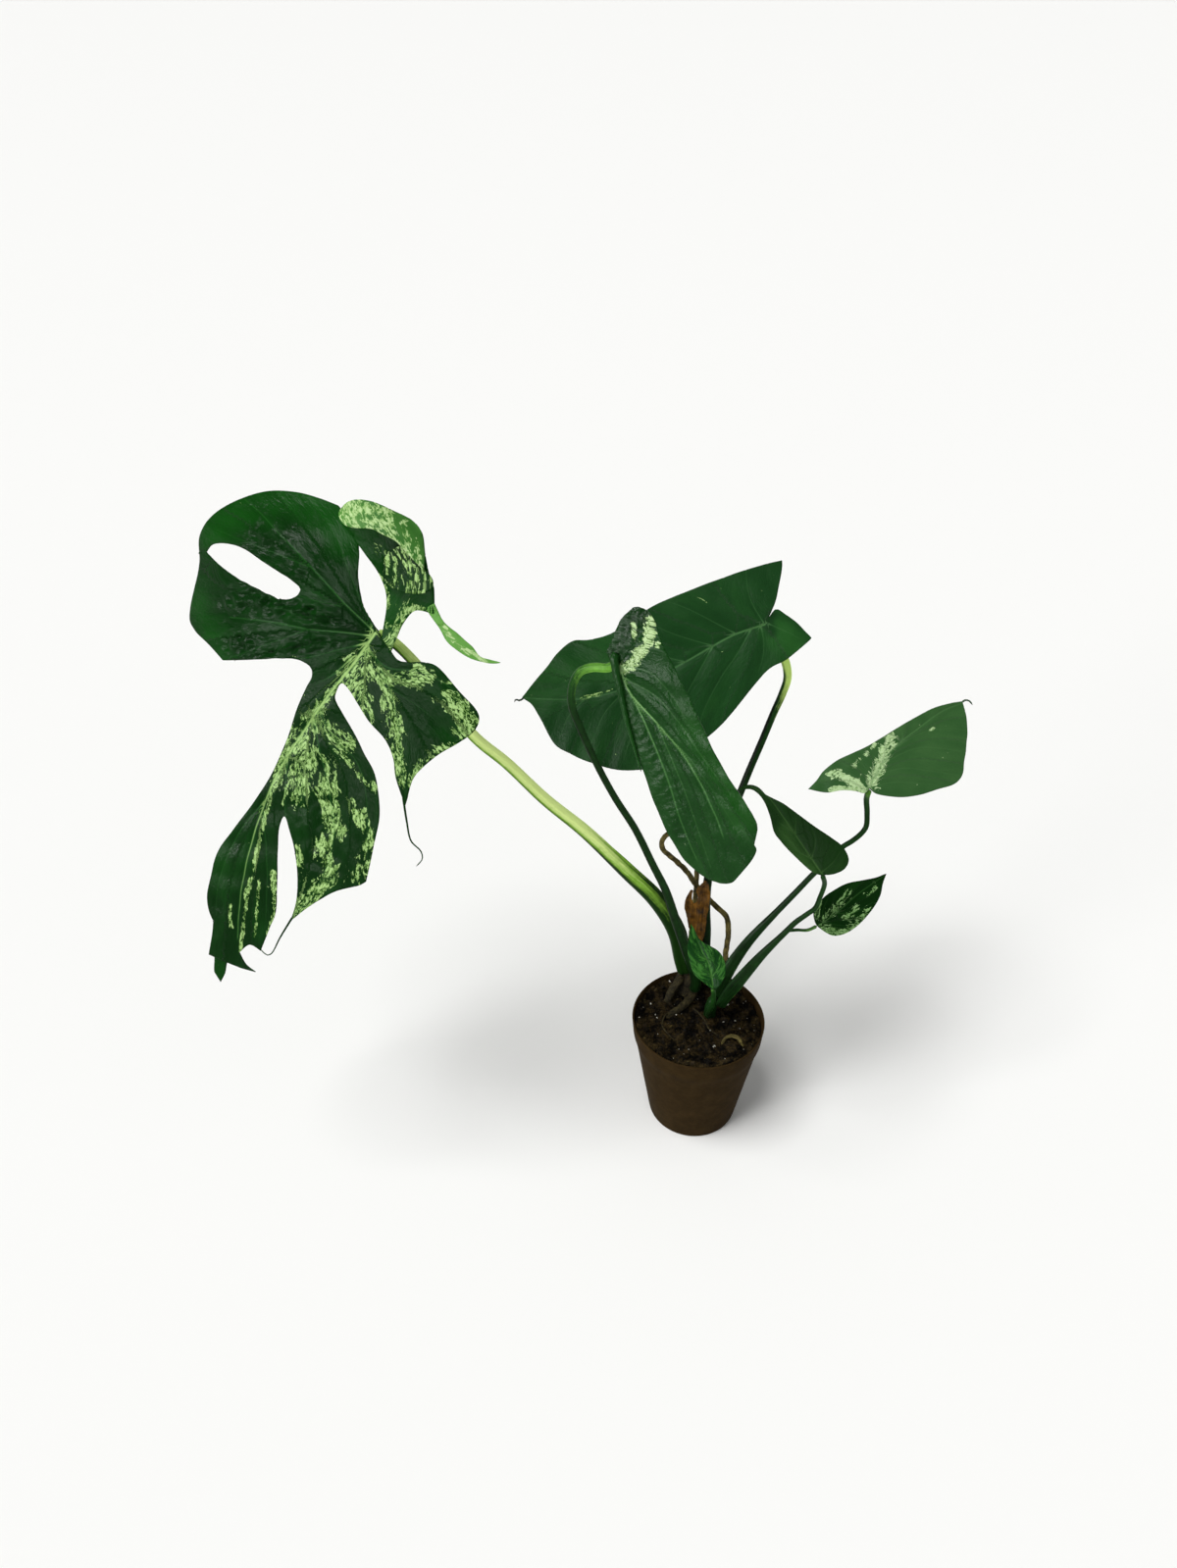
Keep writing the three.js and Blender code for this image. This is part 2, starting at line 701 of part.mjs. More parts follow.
// The blade and its rib, as a cutter: the petiole butts against both.
function seatCutters(blade) {
  const rib = ribGeometry({ ...blade, rib: blade.rib + GAP }, bladeHeight(blade));
  rib.applyMatrix4(place(new THREE.Object3D(), blade).matrix);
  return [bladeCutter(blade), solid(rib)];
}

function limbSolid(limb) {
  let body = solid(limbGeometry(limb));
  for (const name of limb.stopsAt ?? []) {
    body = body.subtract(solid(limbGeometry(LIMBS[name], GAP)));
  }
  if (limb.blade) {
    for (const cutter of seatCutters(BLADES[limb.blade])) body = body.subtract(cutter);
  }
  return body;
}

function drySheathSolid() {
  const { curl, grid } = DRY_SHEATH;
  const height = (x, y) => -curl * x ** 2 + 0.6 * Math.sin(0.4 * y) + 0.5 * Math.sin(0.9 * x);
  const flat = geometryOf(sheetSolid(DRY_SHEATH, height, grid));
  let body = solid(flat.applyMatrix4(place(new THREE.Object3D(), DRY_SHEATH).matrix));
  for (const name of ["main_stem", "split_leaf_petiole", "heart_leaf_petiole",
    "hanging_leaf_petiole"]) {
    body = body.subtract(solid(limbGeometry(LIMBS[name], GAP)));
  }
  return body;
}

const wallRadius = (z) => lerp(
  POT_BASE_RADIUS,
  POT_TOP_RADIUS - RIM_BAND_PROUD - 1,
  z / (POT_HEIGHT - RIM_BAND_HEIGHT),
);

function potSolid() {
  const bandFoot = POT_HEIGHT - RIM_BAND_HEIGHT;
  const bandRadius = POT_TOP_RADIUS - 1;
  const floor = UNDERSIDE_RECESS + FLOOR_THICKNESS;
  const ringInner = POT_BASE_RADIUS - FOOT_RING_WIDTH;
  const profile = [
    [0, 0],
    [CENTRE_PAD_RADIUS, 0],
    [CENTRE_PAD_RADIUS + 1.5, UNDERSIDE_RECESS],
    [ringInner - 1.5, UNDERSIDE_RECESS],
    [ringInner, 0],
    [POT_BASE_RADIUS - 0.8, 0],
    [POT_BASE_RADIUS, 0.9],
    [wallRadius(bandFoot), bandFoot],
    [bandRadius, bandFoot + 0.6],
    [POT_TOP_RADIUS, POT_HEIGHT - 0.6],
    [POT_TOP_RADIUS - 0.6, POT_HEIGHT],
    [POT_TOP_RADIUS - POT_WALL, POT_HEIGHT - 0.4],
    [bandRadius - POT_WALL, bandFoot + 2],
    [wallRadius(bandFoot) - POT_WALL, bandFoot],
    [wallRadius(floor) - POT_WALL, floor],
    [0, floor],
  ].map(([r, z]) => new THREE.Vector2(r, z));
  const shell = new THREE.LatheGeometry(profile, POT_SIDES).rotateX(Math.PI / 2);
  let body = solid(shell);
  for (let i = 0; i < DRAIN_HOLES; i += 1) {
    const turn = (2 * Math.PI * i) / DRAIN_HOLES;
    const hole = new THREE.CylinderGeometry(DRAIN_HOLE_RADIUS, DRAIN_HOLE_RADIUS, 20, 12)
      .rotateX(Math.PI / 2)
      .translate(DRAIN_CIRCLE_RADIUS * Math.cos(turn), DRAIN_CIRCLE_RADIUS * Math.sin(turn), 4);
    body = body.subtract(solid(hole));
  }
  return body;
}

// Height of the soil's lumpy top.
function soilTop(x, y) {
  const front = SOIL_HEAP * THREE.MathUtils.smoothstep(-y, -10, 45);
  const slack = SOIL_SLACK * THREE.MathUtils.smoothstep(x, 30, 52);
  const lumps = Math.sin(0.31 * x + 1.1 * Math.sin(0.23 * y)) + Math.sin(0.37 * y + 0.9)
    + 0.8 * Math.sin(0.52 * x - 0.44 * y + 2);
  return SOIL_LEVEL + front - slack + SOIL_LUMP * lumps * 0.6;
}

function soilSolid() {
  const bandFoot = POT_HEIGHT - RIM_BAND_HEIGHT;
  const floor = UNDERSIDE_RECESS + FLOOR_THICKNESS + GAP;
  const clear = POT_WALL + GAP + 0.1;
  const ring = (radius, heightAt) => {
    const row = [];
    for (let i = 0; i < SOIL_SECTORS; i += 1) {
      const turn = (2 * Math.PI * i) / SOIL_SECTORS;
      const [x, y] = [radius * Math.cos(turn), radius * Math.sin(turn)];
      row.push(new THREE.Vector3(x, y, heightAt(x, y)));
    }
    return row;
  };
  const rows = [
    ring(wallRadius(floor) - clear, () => floor),
    ring(wallRadius(bandFoot) - clear, () => bandFoot - 0.5),
    ring(POT_TOP_RADIUS - 1 - clear, () => bandFoot + 3),
  ];
  for (let i = SOIL_RINGS; i > 0; i -= 1) {
    rows.push(ring(((POT_TOP_RADIUS - 1 - clear) * i) / SOIL_RINGS, soilTop));
  }
  let body = solid(skin(rows));
  for (const name of ["main_stem", "side_shoot", "split_leaf_petiole", "hanging_leaf_petiole",
    "right_leaf_petiole", "dark_leaf_petiole", "aerial_root", "surface_root", "prop_root"]) {
    body = body.subtract(solid(limbGeometry(LIMBS[name], GAP)));
  }
  return body;
}

const group = new THREE.Group();
group.add(meshOf("pot", potSolid(), COLOURS.pot, 0.7));
group.add(meshOf("soil", soilSolid(), COLOURS.soil, 0.95));
for (const [name, limb] of Object.entries(LIMBS)) {
  group.add(meshOf(name, limbSolid(limb), limb.colour, 0.5));
}
group.add(meshOf("dry_sheath", drySheathSolid(), COLOURS.dry, 0.8));
for (const [name, blade] of Object.entries(BLADES)) {
  group.add(place(meshOf(`${name}_blade`, bladeSolid(name, blade), blade.colour, 0.35), blade));
}

export default group;
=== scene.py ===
"""A potted variegated monstera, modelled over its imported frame.

Lengths are millimetres until a mesh is finished, and metres from then on. Each leaf is cut out
flat in a chart of its own, gets its veins and folds there, and is then bent into its place.
"""
import logging
import math
from dataclasses import dataclass
from enum import Enum

import bmesh
import bpy
import numpy as np
from mathutils import Matrix, Vector


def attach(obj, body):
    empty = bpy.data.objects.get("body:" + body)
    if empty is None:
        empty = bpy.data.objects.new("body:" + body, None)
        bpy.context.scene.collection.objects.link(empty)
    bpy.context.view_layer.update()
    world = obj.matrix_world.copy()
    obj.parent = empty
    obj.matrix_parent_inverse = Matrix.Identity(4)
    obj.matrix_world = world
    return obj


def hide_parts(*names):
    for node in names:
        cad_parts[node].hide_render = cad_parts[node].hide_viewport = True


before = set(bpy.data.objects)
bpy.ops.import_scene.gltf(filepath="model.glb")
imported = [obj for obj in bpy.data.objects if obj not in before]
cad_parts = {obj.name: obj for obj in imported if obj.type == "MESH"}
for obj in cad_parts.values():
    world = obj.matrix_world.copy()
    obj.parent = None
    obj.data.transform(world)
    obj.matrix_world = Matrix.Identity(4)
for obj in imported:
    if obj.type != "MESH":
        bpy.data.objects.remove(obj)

log = logging.getLogger("monstera")

MM = 0.001
GRAIN = "grain"
FAR = 1e9
WELD = 1e-3
STROKE_STEP = 6
VEIN_STEP = 4
RUN_ON = 60
VEIN_GAP = 400
PUCKER_WAVES = 16

Point2 = tuple[float, float]
Point3 = tuple[float, float, float]
Run = tuple[Point2, ...]
Array = np.ndarray
Mesh = bpy.types.Mesh
Object = bpy.types.Object
Material = bpy.types.Material
Tree = bpy.types.NodeTree
Socket = bpy.types.NodeSocket


def linear(colour: str) -> tuple[float, float, float, float]:
    """Turns an sRGB hex colour into linear values, with an alpha of 1."""
    values = [int(colour[i:i + 2], 16) / 255 for i in (1, 3, 5)]
    return (*[v / 12.92 if v <= 0.04045 else ((v + 0.055) / 1.055) ** 2.4 for v in values], 1.0)


def add(tree: Tree, kind: str, settings: dict | None = None,
        inputs: dict | None = None) -> bpy.types.Node:
    """Adds a node with its settings and links.

    Args:
        tree: the material's node tree.
        kind: the node's type.
        settings: the node's properties by name.
        inputs: values or output sockets by the name or number of the input socket.

    Returns:
        The new node.
    """
    node = tree.nodes.new(kind)
    for name, value in (settings or {}).items():
        setattr(node, name, value)
    for name, value in (inputs or {}).items():
        if isinstance(value, Socket):
            tree.links.new(value, node.inputs[name])
        else:
            node.inputs[name].default_value = value
    return node


def started(name: str) -> Material:
    """Starts a material.

    Args:
        name: its name.

    Returns:
        The new material, whose node tree is empty.
    """
    material = bpy.data.materials.new(name)
    material.use_nodes = True
    material.node_tree.nodes.clear()
    return material


def surfaced(tree: Tree, inputs: dict) -> None:
    """Ends a material with its surface shader, which gets the given inputs."""
    surface = add(tree, "ShaderNodeBsdfPrincipled", inputs=inputs)
    add(tree, "ShaderNodeOutputMaterial", inputs={"Surface": surface.outputs["BSDF"]})


def grain_of(tree: Tree) -> Socket:
    """Each point's place in the piece's grain, in metres."""
    return add(tree, "ShaderNodeUVMap", {"uv_map": GRAIN}).outputs["UV"]


def value_of(tree: Tree, name: str) -> Socket:
    """The number that set_value keeps for each point of the piece."""
    return add(tree, "ShaderNodeAttribute", {"attribute_name": name}).outputs["Fac"]


def squeezed(tree: Tree, place: Socket, scale: Point3) -> Socket:
    """Scales the place at which a pattern is read."""
    node = add(tree, "ShaderNodeMapping", inputs={"Vector": place, "Scale": scale})
    return node.outputs["Vector"]


def noise(tree: Tree, place: Socket, scale: float, detail: float, roughness: float,
          distortion: float = 0.0, flat: bool = True) -> Socket:
    """Adds a noise, read in a plane or in space, with scale as its number of marks to a metre."""
    node = add(tree, "ShaderNodeTexNoise", {"noise_dimensions": "2D" if flat else "3D"}, {
        "Vector": place, "Scale": scale, "Detail": detail, "Roughness": roughness,
        "Distortion": distortion})
    return node.outputs["Fac"]


def reckoned(tree: Tree, operation: str, *values: float | Socket, clamp: bool = False) -> Socket:
    """Adds a calculation on numbers or sockets, and gives its result, clamped or as it is."""
    node = add(tree, "ShaderNodeMath", {"operation": operation, "use_clamp": clamp},
               dict(enumerate(values)))
    return node.outputs[0]


def stepped(tree: Tree, value: Socket, low: float, high: float | Socket,
            ends: Point2 = (0.0, 1.0)) -> Socket:
    """Adds a smooth step of a value between low and high, and gives its result."""
    node = add(tree, "ShaderNodeMapRange", {"interpolation_type": "SMOOTHSTEP"}, {
        "Value": value, "From Min": low, "From Max": high, "To Min": ends[0], "To Max": ends[1]})
    return node.outputs["Result"]


def toned(tree: Tree, value: Socket, *stops: tuple[float, str]) -> Socket:
    """Colours a value.

    Args:
        tree: the material's node tree.
        value: the value.
        stops: values, from the lowest up, with the colour at each.

    Returns:
        The colour.
    """
    node = add(tree, "ShaderNodeValToRGB", inputs={"Fac": value})
    elements = node.color_ramp.elements
    elements[0].position = stops[0][0]
    elements[1].position = stops[-1][0]
    for place, _ in stops[1:-1]:
        elements.new(place)
    for element, (_, colour) in zip(elements, stops):
        element.color = linear(colour)
    return node.outputs["Color"]


def mixed(tree: Tree, share: Socket, first: Socket, second: Socket) -> Socket:
    """Blends two colours, from the first at a share of 0 to the second at 1."""
    node = add(tree, "ShaderNodeMix", {"data_type": "RGBA"}, {0: share, 6: first, 7: second})
    return node.outputs[2]


def bumped(tree: Tree, height: Socket, strength: float, distance: float) -> Socket:
    """Adds fine relief of a depth in metres, and gives its normal."""
    return add(tree, "ShaderNodeBump", inputs={
        "Height": height, "Strength": strength, "Distance": distance}).outputs["Normal"]


def smoothstep(value: Array, low: float, high: float) -> Array:
    """Rises smoothly from 0 at low to 1 at high."""
    t = np.clip((value - low) / (high - low), 0, 1)
    return t * t * (3 - 2 * t)


def rising(distance: Array, reach: float) -> Array:
    """Rises from 0, fast at first and then ever less, towards 1."""
    return 1 - np.exp(-distance / reach)


def ripples(x: Array, y: Array, size: float, seed: int, waves: int = 9) -> Array:
    """A smooth random field, the sum of plane waves.

    Args:
        x, y: where it is wanted.
        size: the usual distance between its crests.
        seed: the seed of its random draw.
        waves: how many waves it is the sum of.

    Returns:
        Values mostly between -1 and 1.
    """
    draw = np.random.default_rng(seed)
    total = np.zeros_like(x, dtype=float)
    for _ in range(waves):
        angle, phase = draw.uniform(0, 2 * math.pi, 2)
        length = size * draw.uniform(0.7, 1.5)
        total += np.sin(2 * math.pi * (x * math.cos(angle) + y * math.sin(angle)) / length + phase)
    return total / math.sqrt(waves)


def between(t: float, a: Array, b: Array, start: Array, end: Array) -> Array:
    """The point at t, from 0 to 1, of the cubic from a to b with the given slopes at its ends."""
    return ((2 * t**3 - 3 * t**2 + 1) * a + (t**3 - 2 * t**2 + t) * start
            + (3 * t**2 - 2 * t**3) * b + (t**3 - t**2) * end)


def smooth_run(points: Run, step: float) -> list[Point2]:
    """Points along a smooth curve through the given points.

    Args:
        points: what the curve passes through.
        step: the distance between the points returned.

    Returns:
        The curve's points, the first one included.
    """
    found = [points[0]]
    for i in range(len(points) - 1):
        a, b = np.array(points[i]), np.array(points[i + 1])
        before = np.array(points[max(i - 1, 0)])
        after = np.array(points[min(i + 2, len(points) - 1)])
        count = max(1, round(float(np.linalg.norm(b - a)) / step))
        for k in range(1, count + 1):
            found.append(tuple(between(k / count, a, b, (b - before) / 2, (after - a) / 2)))
    return found


def smooth_path(points: list[Point3], count: int) -> Array:
    """A centripetal curve through points in space, at even distances.

    Args:
        points: what the curve passes through.
        count: how many points are wanted.

    Returns:
        The curve's points, as rows.
    """
    p = np.array(points, dtype=float)
    p = np.vstack([2 * p[0] - p[1], p, 2 * p[-1] - p[-2]])
    dense = []
    for i in range(1, len(p) - 2):
        gaps = [max(float(np.linalg.norm(p[i + k] - p[i + k - 1])), 1e-6) ** 0.5 for k in range(3)]
        start = ((p[i] - p[i - 1]) / gaps[0] - (p[i + 1] - p[i - 1]) / (gaps[0] + gaps[1])
                 + (p[i + 1] - p[i]) / gaps[1]) * gaps[1]
        end = ((p[i + 1] - p[i]) / gaps[1] - (p[i + 2] - p[i]) / (gaps[1] + gaps[2])
               + (p[i + 2] - p[i + 1]) / gaps[2]) * gaps[1]
        dense += [between(t, p[i], p[i + 1], start, end)
                  for t in np.linspace(0, 1, 24, endpoint=False)]
    dense.append(p[-2])
    line = np.array(dense)
    length = np.concatenate([[0], np.cumsum(np.linalg.norm(np.diff(line, axis=0), axis=1))])
    wanted = np.linspace(0, length[-1], count)
    return np.stack([np.interp(wanted, length, line[:, k]) for k in range(3)], axis=1)


def nearest(x: Array, y: Array, line: list[Point2]) -> tuple[Array, Array, Array]:
    """How far points lie from a line in the plane.

    Args:
        x, y: the points.
        line: the line's points.

    Returns:
        Distance, signed distance (positive on the line's left) and distance along the line.
    """
    best = np.full(x.shape, FAR)
    signed = np.zeros(x.shape)
    along = np.zeros(x.shape)
    run = 0.0
    for (ax, ay), (bx, by) in zip(line, line[1:]):
        length = math.hypot(bx - ax, by - ay)
        dx, dy = (bx - ax) / length, (by - ay) / length
        t = np.clip((x - ax) * dx + (y - ay) * dy, 0, length)
        px, py = x - ax - t * dx, y - ay - t * dy
        distance = np.hypot(px, py)
        closer = distance < best
        side = np.sign(dx * (y - ay) - dy * (x - ax))
        signed = np.where(closer, distance * side, signed)
        along = np.where(closer, run + t, along)
        best = np.where(closer, distance, best)
        run += length
    return best, signed, along


def chart_matrix(seat: Point3, turn: float, lean: float) -> Matrix:
    """From a flat chart, in millimetres, to its place on the plant, in metres.

    Args:
        seat: where the chart's origin lies.
        turn: how far it is turned about Z, in degrees.
        lean: how far it leans back, in degrees.

    Returns:
        The placing matrix.
    """
    t, e = math.radians(turn), math.radians(lean)
    normal = Vector((math.sin(t) * math.cos(e), -math.cos(t) * math.cos(e), math.sin(e)))
    right = Vector((math.cos(t), math.sin(t), 0))
    up = normal.cross(right)
    turned = Matrix((right, up, normal)).transposed().to_4x4()
    return Matrix.Scale(MM, 4) @ Matrix.Translation(seat) @ turned


def mesh_of(shape: bmesh.types.BMesh, name: str) -> Mesh:
    """Turns an edited shape into a mesh, and frees it.

    Args:
        shape: the shape.
        name: the mesh's name.

    Returns:
        The new mesh.
    """
    mesh = bpy.data.meshes.new(name)
    shape.to_mesh(mesh)
    shape.free()
    return mesh


def grid_of(columns: int, rows: int, name: str) -> Mesh:
    """A square of one unit, divided into a grid and centred on the origin.

    Args:
        columns, rows: how many divisions it has along X and Y.
        name: the mesh's name.

    Returns:
        The new mesh.
    """
    shape = bmesh.new()
    bmesh.ops.create_grid(shape, x_segments=columns, y_segments=rows, size=0.5)
    return mesh_of(shape, name)


def closed(mesh: Mesh, gap: float = WELD, outward: bool = True) -> None:
    """Joins the points that coincide and fills what is then open.

    Args:
        mesh: the mesh, which is changed.
        gap: how close points are joined.
        outward: whether its faces are also turned outward.
    """
    shape = bmesh.new()
    shape.from_mesh(mesh)
    bmesh.ops.remove_doubles(shape, verts=shape.verts[:], dist=gap)
    bmesh.ops.holes_fill(shape, edges=[edge for edge in shape.edges if edge.is_boundary], sides=0)
    if outward:
        bmesh.ops.recalc_face_normals(shape, faces=shape.faces[:])
    shape.to_mesh(mesh)
    shape.free()


def points_of(mesh: Mesh) -> Array:
    """The mesh's points, as rows."""
    found = np.empty(len(mesh.vertices) * 3)
    mesh.vertices.foreach_get("co", found)
    return found.reshape(-1, 3)


def set_points(mesh: Mesh, points: Array) -> None:
    """Moves the mesh's points."""
    mesh.vertices.foreach_set("co", points.astype(np.float32).ravel())
    mesh.update()


def set_value(mesh: Mesh, name: str, values: Array | float) -> None:
    """Keeps one number for each point of the mesh, for its material to read."""
    layer = mesh.attributes.new(name, "FLOAT", "POINT")
    layer.data.foreach_set("value", np.broadcast_to(values, len(mesh.vertices)).astype(np.float32))


def set_grain(mesh: Mesh, along: Array, across: Array) -> None:
    """Lays the grain over the mesh, for patterns that follow the veins or fibres.

    Args:
        mesh: the mesh.
        along, across: each point's place along and across the grain, in millimetres.
    """
    corners = np.empty(len(mesh.loops), dtype=np.int32)
    mesh.loops.foreach_get("vertex_index", corners)
    layer = mesh.uv_layers.new(name=GRAIN)
    places = np.stack([along[corners], across[corners]], axis=1) * MM
    layer.uv.foreach_set("vector", places.astype(np.float32).ravel())


def placed(name: str, data: bpy.types.ID) -> Object:
    """Puts a new object into the scene.

    Args:
        name: its name.
        data: its mesh, lamp or camera.

    Returns:
        The new object.
    """
    item = bpy.data.objects.new(name, data)
    bpy.context.scene.collection.objects.link(item)
    return item


def piece_of(name: str, mesh: Mesh, materials: list[Material]) -> Object:
    """A smooth shaded object at the origin.

    Args:
        name: its name.
        mesh: its mesh, in metres.
        materials: its materials in the order of their slots.

    Returns:
        The new object.
    """
    piece = placed(name, mesh)
    mesh.name = name
    for material in materials:
        mesh.materials.append(material)
    mesh.shade_smooth()
    return piece


def baked(piece: Object) -> Object:
    """Applies the piece's modifiers.

    Args:
        piece: the object.

    Returns:
        The same object.
    """
    depsgraph = bpy.context.evaluated_depsgraph_get()
    shape = piece.evaluated_get(depsgraph)
    mesh = bpy.data.meshes.new_from_object(shape, preserve_all_data_layers=True,
                                           depsgraph=depsgraph)
    piece.modifiers.clear()
    piece.data = mesh
    mesh.name = piece.name
    return piece


def cut(piece: Object, tool: Object, operation: str, solver: str) -> None:
    """Cuts a piece with another object, which is then removed.

    Args:
        piece: the piece.
        tool: what it is cut with.
        operation, solver: the Boolean's settings.
    """
    boolean = piece.modifiers.new("cut", "BOOLEAN")
    boolean.object = tool
    boolean.operation = operation
    boolean.solver = solver
    baked(piece)
    bpy.data.objects.remove(tool)


def joined(name: str, parts: list[Object]) -> Object:
    """Joins objects into one piece.

    Args:
        name: the piece's name.
        parts: the objects.

    Returns:
        The first of them, which now holds them all.
    """
    first = parts[0]
    if len(parts) > 1:
        with bpy.context.temp_override(active_object=first, object=first, selected_objects=parts,
                                       selected_editable_objects=parts):
            bpy.ops.object.join()
    first.name = name
    first.data.name = name
    return first


def moved(shape: bmesh.types.BMesh, made: dict, offset: Point3) -> None:
    """Moves the points that an operator has just made."""
    verts = [part for part in made["geom"] if isinstance(part, bmesh.types.BMVert)]
    bmesh.ops.translate(shape, vec=offset, verts=verts)


def flat_sheet(edge: tuple[Run, ...], holes: tuple[Run, ...], step: float) -> Mesh:
    """A flat sheet cut to an outline and divided into small squares.

    Args:
        edge: the outline's smooth runs. Each starts where the last one ended.
        holes: closed smooth outlines inside it.
        step: the squares' width.

    Returns:
        The sheet's mesh, facing +Z.
    """
    outline = []
    for before, run in zip((edge[-1], *edge), edge):
        outline += smooth_run((before[-1], *run), step)[1:]
    cutter = bmesh.new()
    for loop in [outline, *[smooth_run((*hole, hole[0]), step)[1:] for hole in holes]]:
        verts = [cutter.verts.new((x, y, -1)) for x, y in loop]
        for a, b in zip(verts, verts[1:] + verts[:1]):
            cutter.edges.new((a, b))
    bmesh.ops.triangle_fill(cutter, edges=cutter.edges[:], use_beauty=False, normal=(0, 0, 1))
    raised = bmesh.ops.extrude_face_region(cutter, geom=cutter.faces[:], use_keep_orig=True)
    moved(cutter, raised, (0, 0, 2))
    bmesh.ops.recalc_face_normals(cutter, faces=cutter.faces[:])

    low = [min(place[i] for place in outline) for i in (0, 1)]
    high = [max(place[i] for place in outline) for i in (0, 1)]
    count = [math.ceil((high[i] - low[i]) / step) + 4 for i in (0, 1)]
    slab = bmesh.new()
    bmesh.ops.create_grid(slab, x_segments=count[0], y_segments=count[1], size=0.5)
    bmesh.ops.scale(slab, vec=(count[0] * step, count[1] * step, 1), verts=slab.verts[:])
    middle = ((low[0] + high[0]) / 2, (low[1] + high[1]) / 2, 0)
    bmesh.ops.translate(slab, vec=middle, verts=slab.verts[:])
    rim = [side for side in slab.edges if side.is_boundary]
    moved(slab, bmesh.ops.extrude_edge_only(slab, edges=rim), (0, 0, -5))
    bmesh.ops.holes_fill(slab, edges=[side for side in slab.edges if side.is_boundary], sides=0)
    bmesh.ops.recalc_face_normals(slab, faces=slab.faces[:])

    block = placed("slab", mesh_of(slab, "slab"))
    cut(block, placed("cutter", mesh_of(cutter, "cutter")), "INTERSECT", "MANIFOLD")
    sheet = bmesh.new()
    sheet.from_mesh(block.data)
    bpy.data.objects.remove(block)
    lower = [face for face in sheet.faces if face.normal.z < 0.9]
    bmesh.ops.delete(sheet, geom=lower, context="FACES")
    bmesh.ops.remove_doubles(sheet, verts=sheet.verts[:], dist=step * 0.15)
    return mesh_of(sheet, "sheet")


def hand_over(piece: Object, nodes: tuple[str, ...]) -> None:
    """Makes a piece ride on the plant's body and stand for its CAD nodes.

    Args:
        piece: the finished piece.
        nodes: the CAD nodes that it stands for, if any.
    """
    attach(piece, "root")
    if nodes:
        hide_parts(*nodes)
    piece.data.calc_loop_triangles()
    log.info("%s: %d triangles", piece.name, len(piece.data.loop_triangles))


class Face(Enum):
    """The two faces of a leaf."""

    UPPER = "upper"
    UNDER = "under"


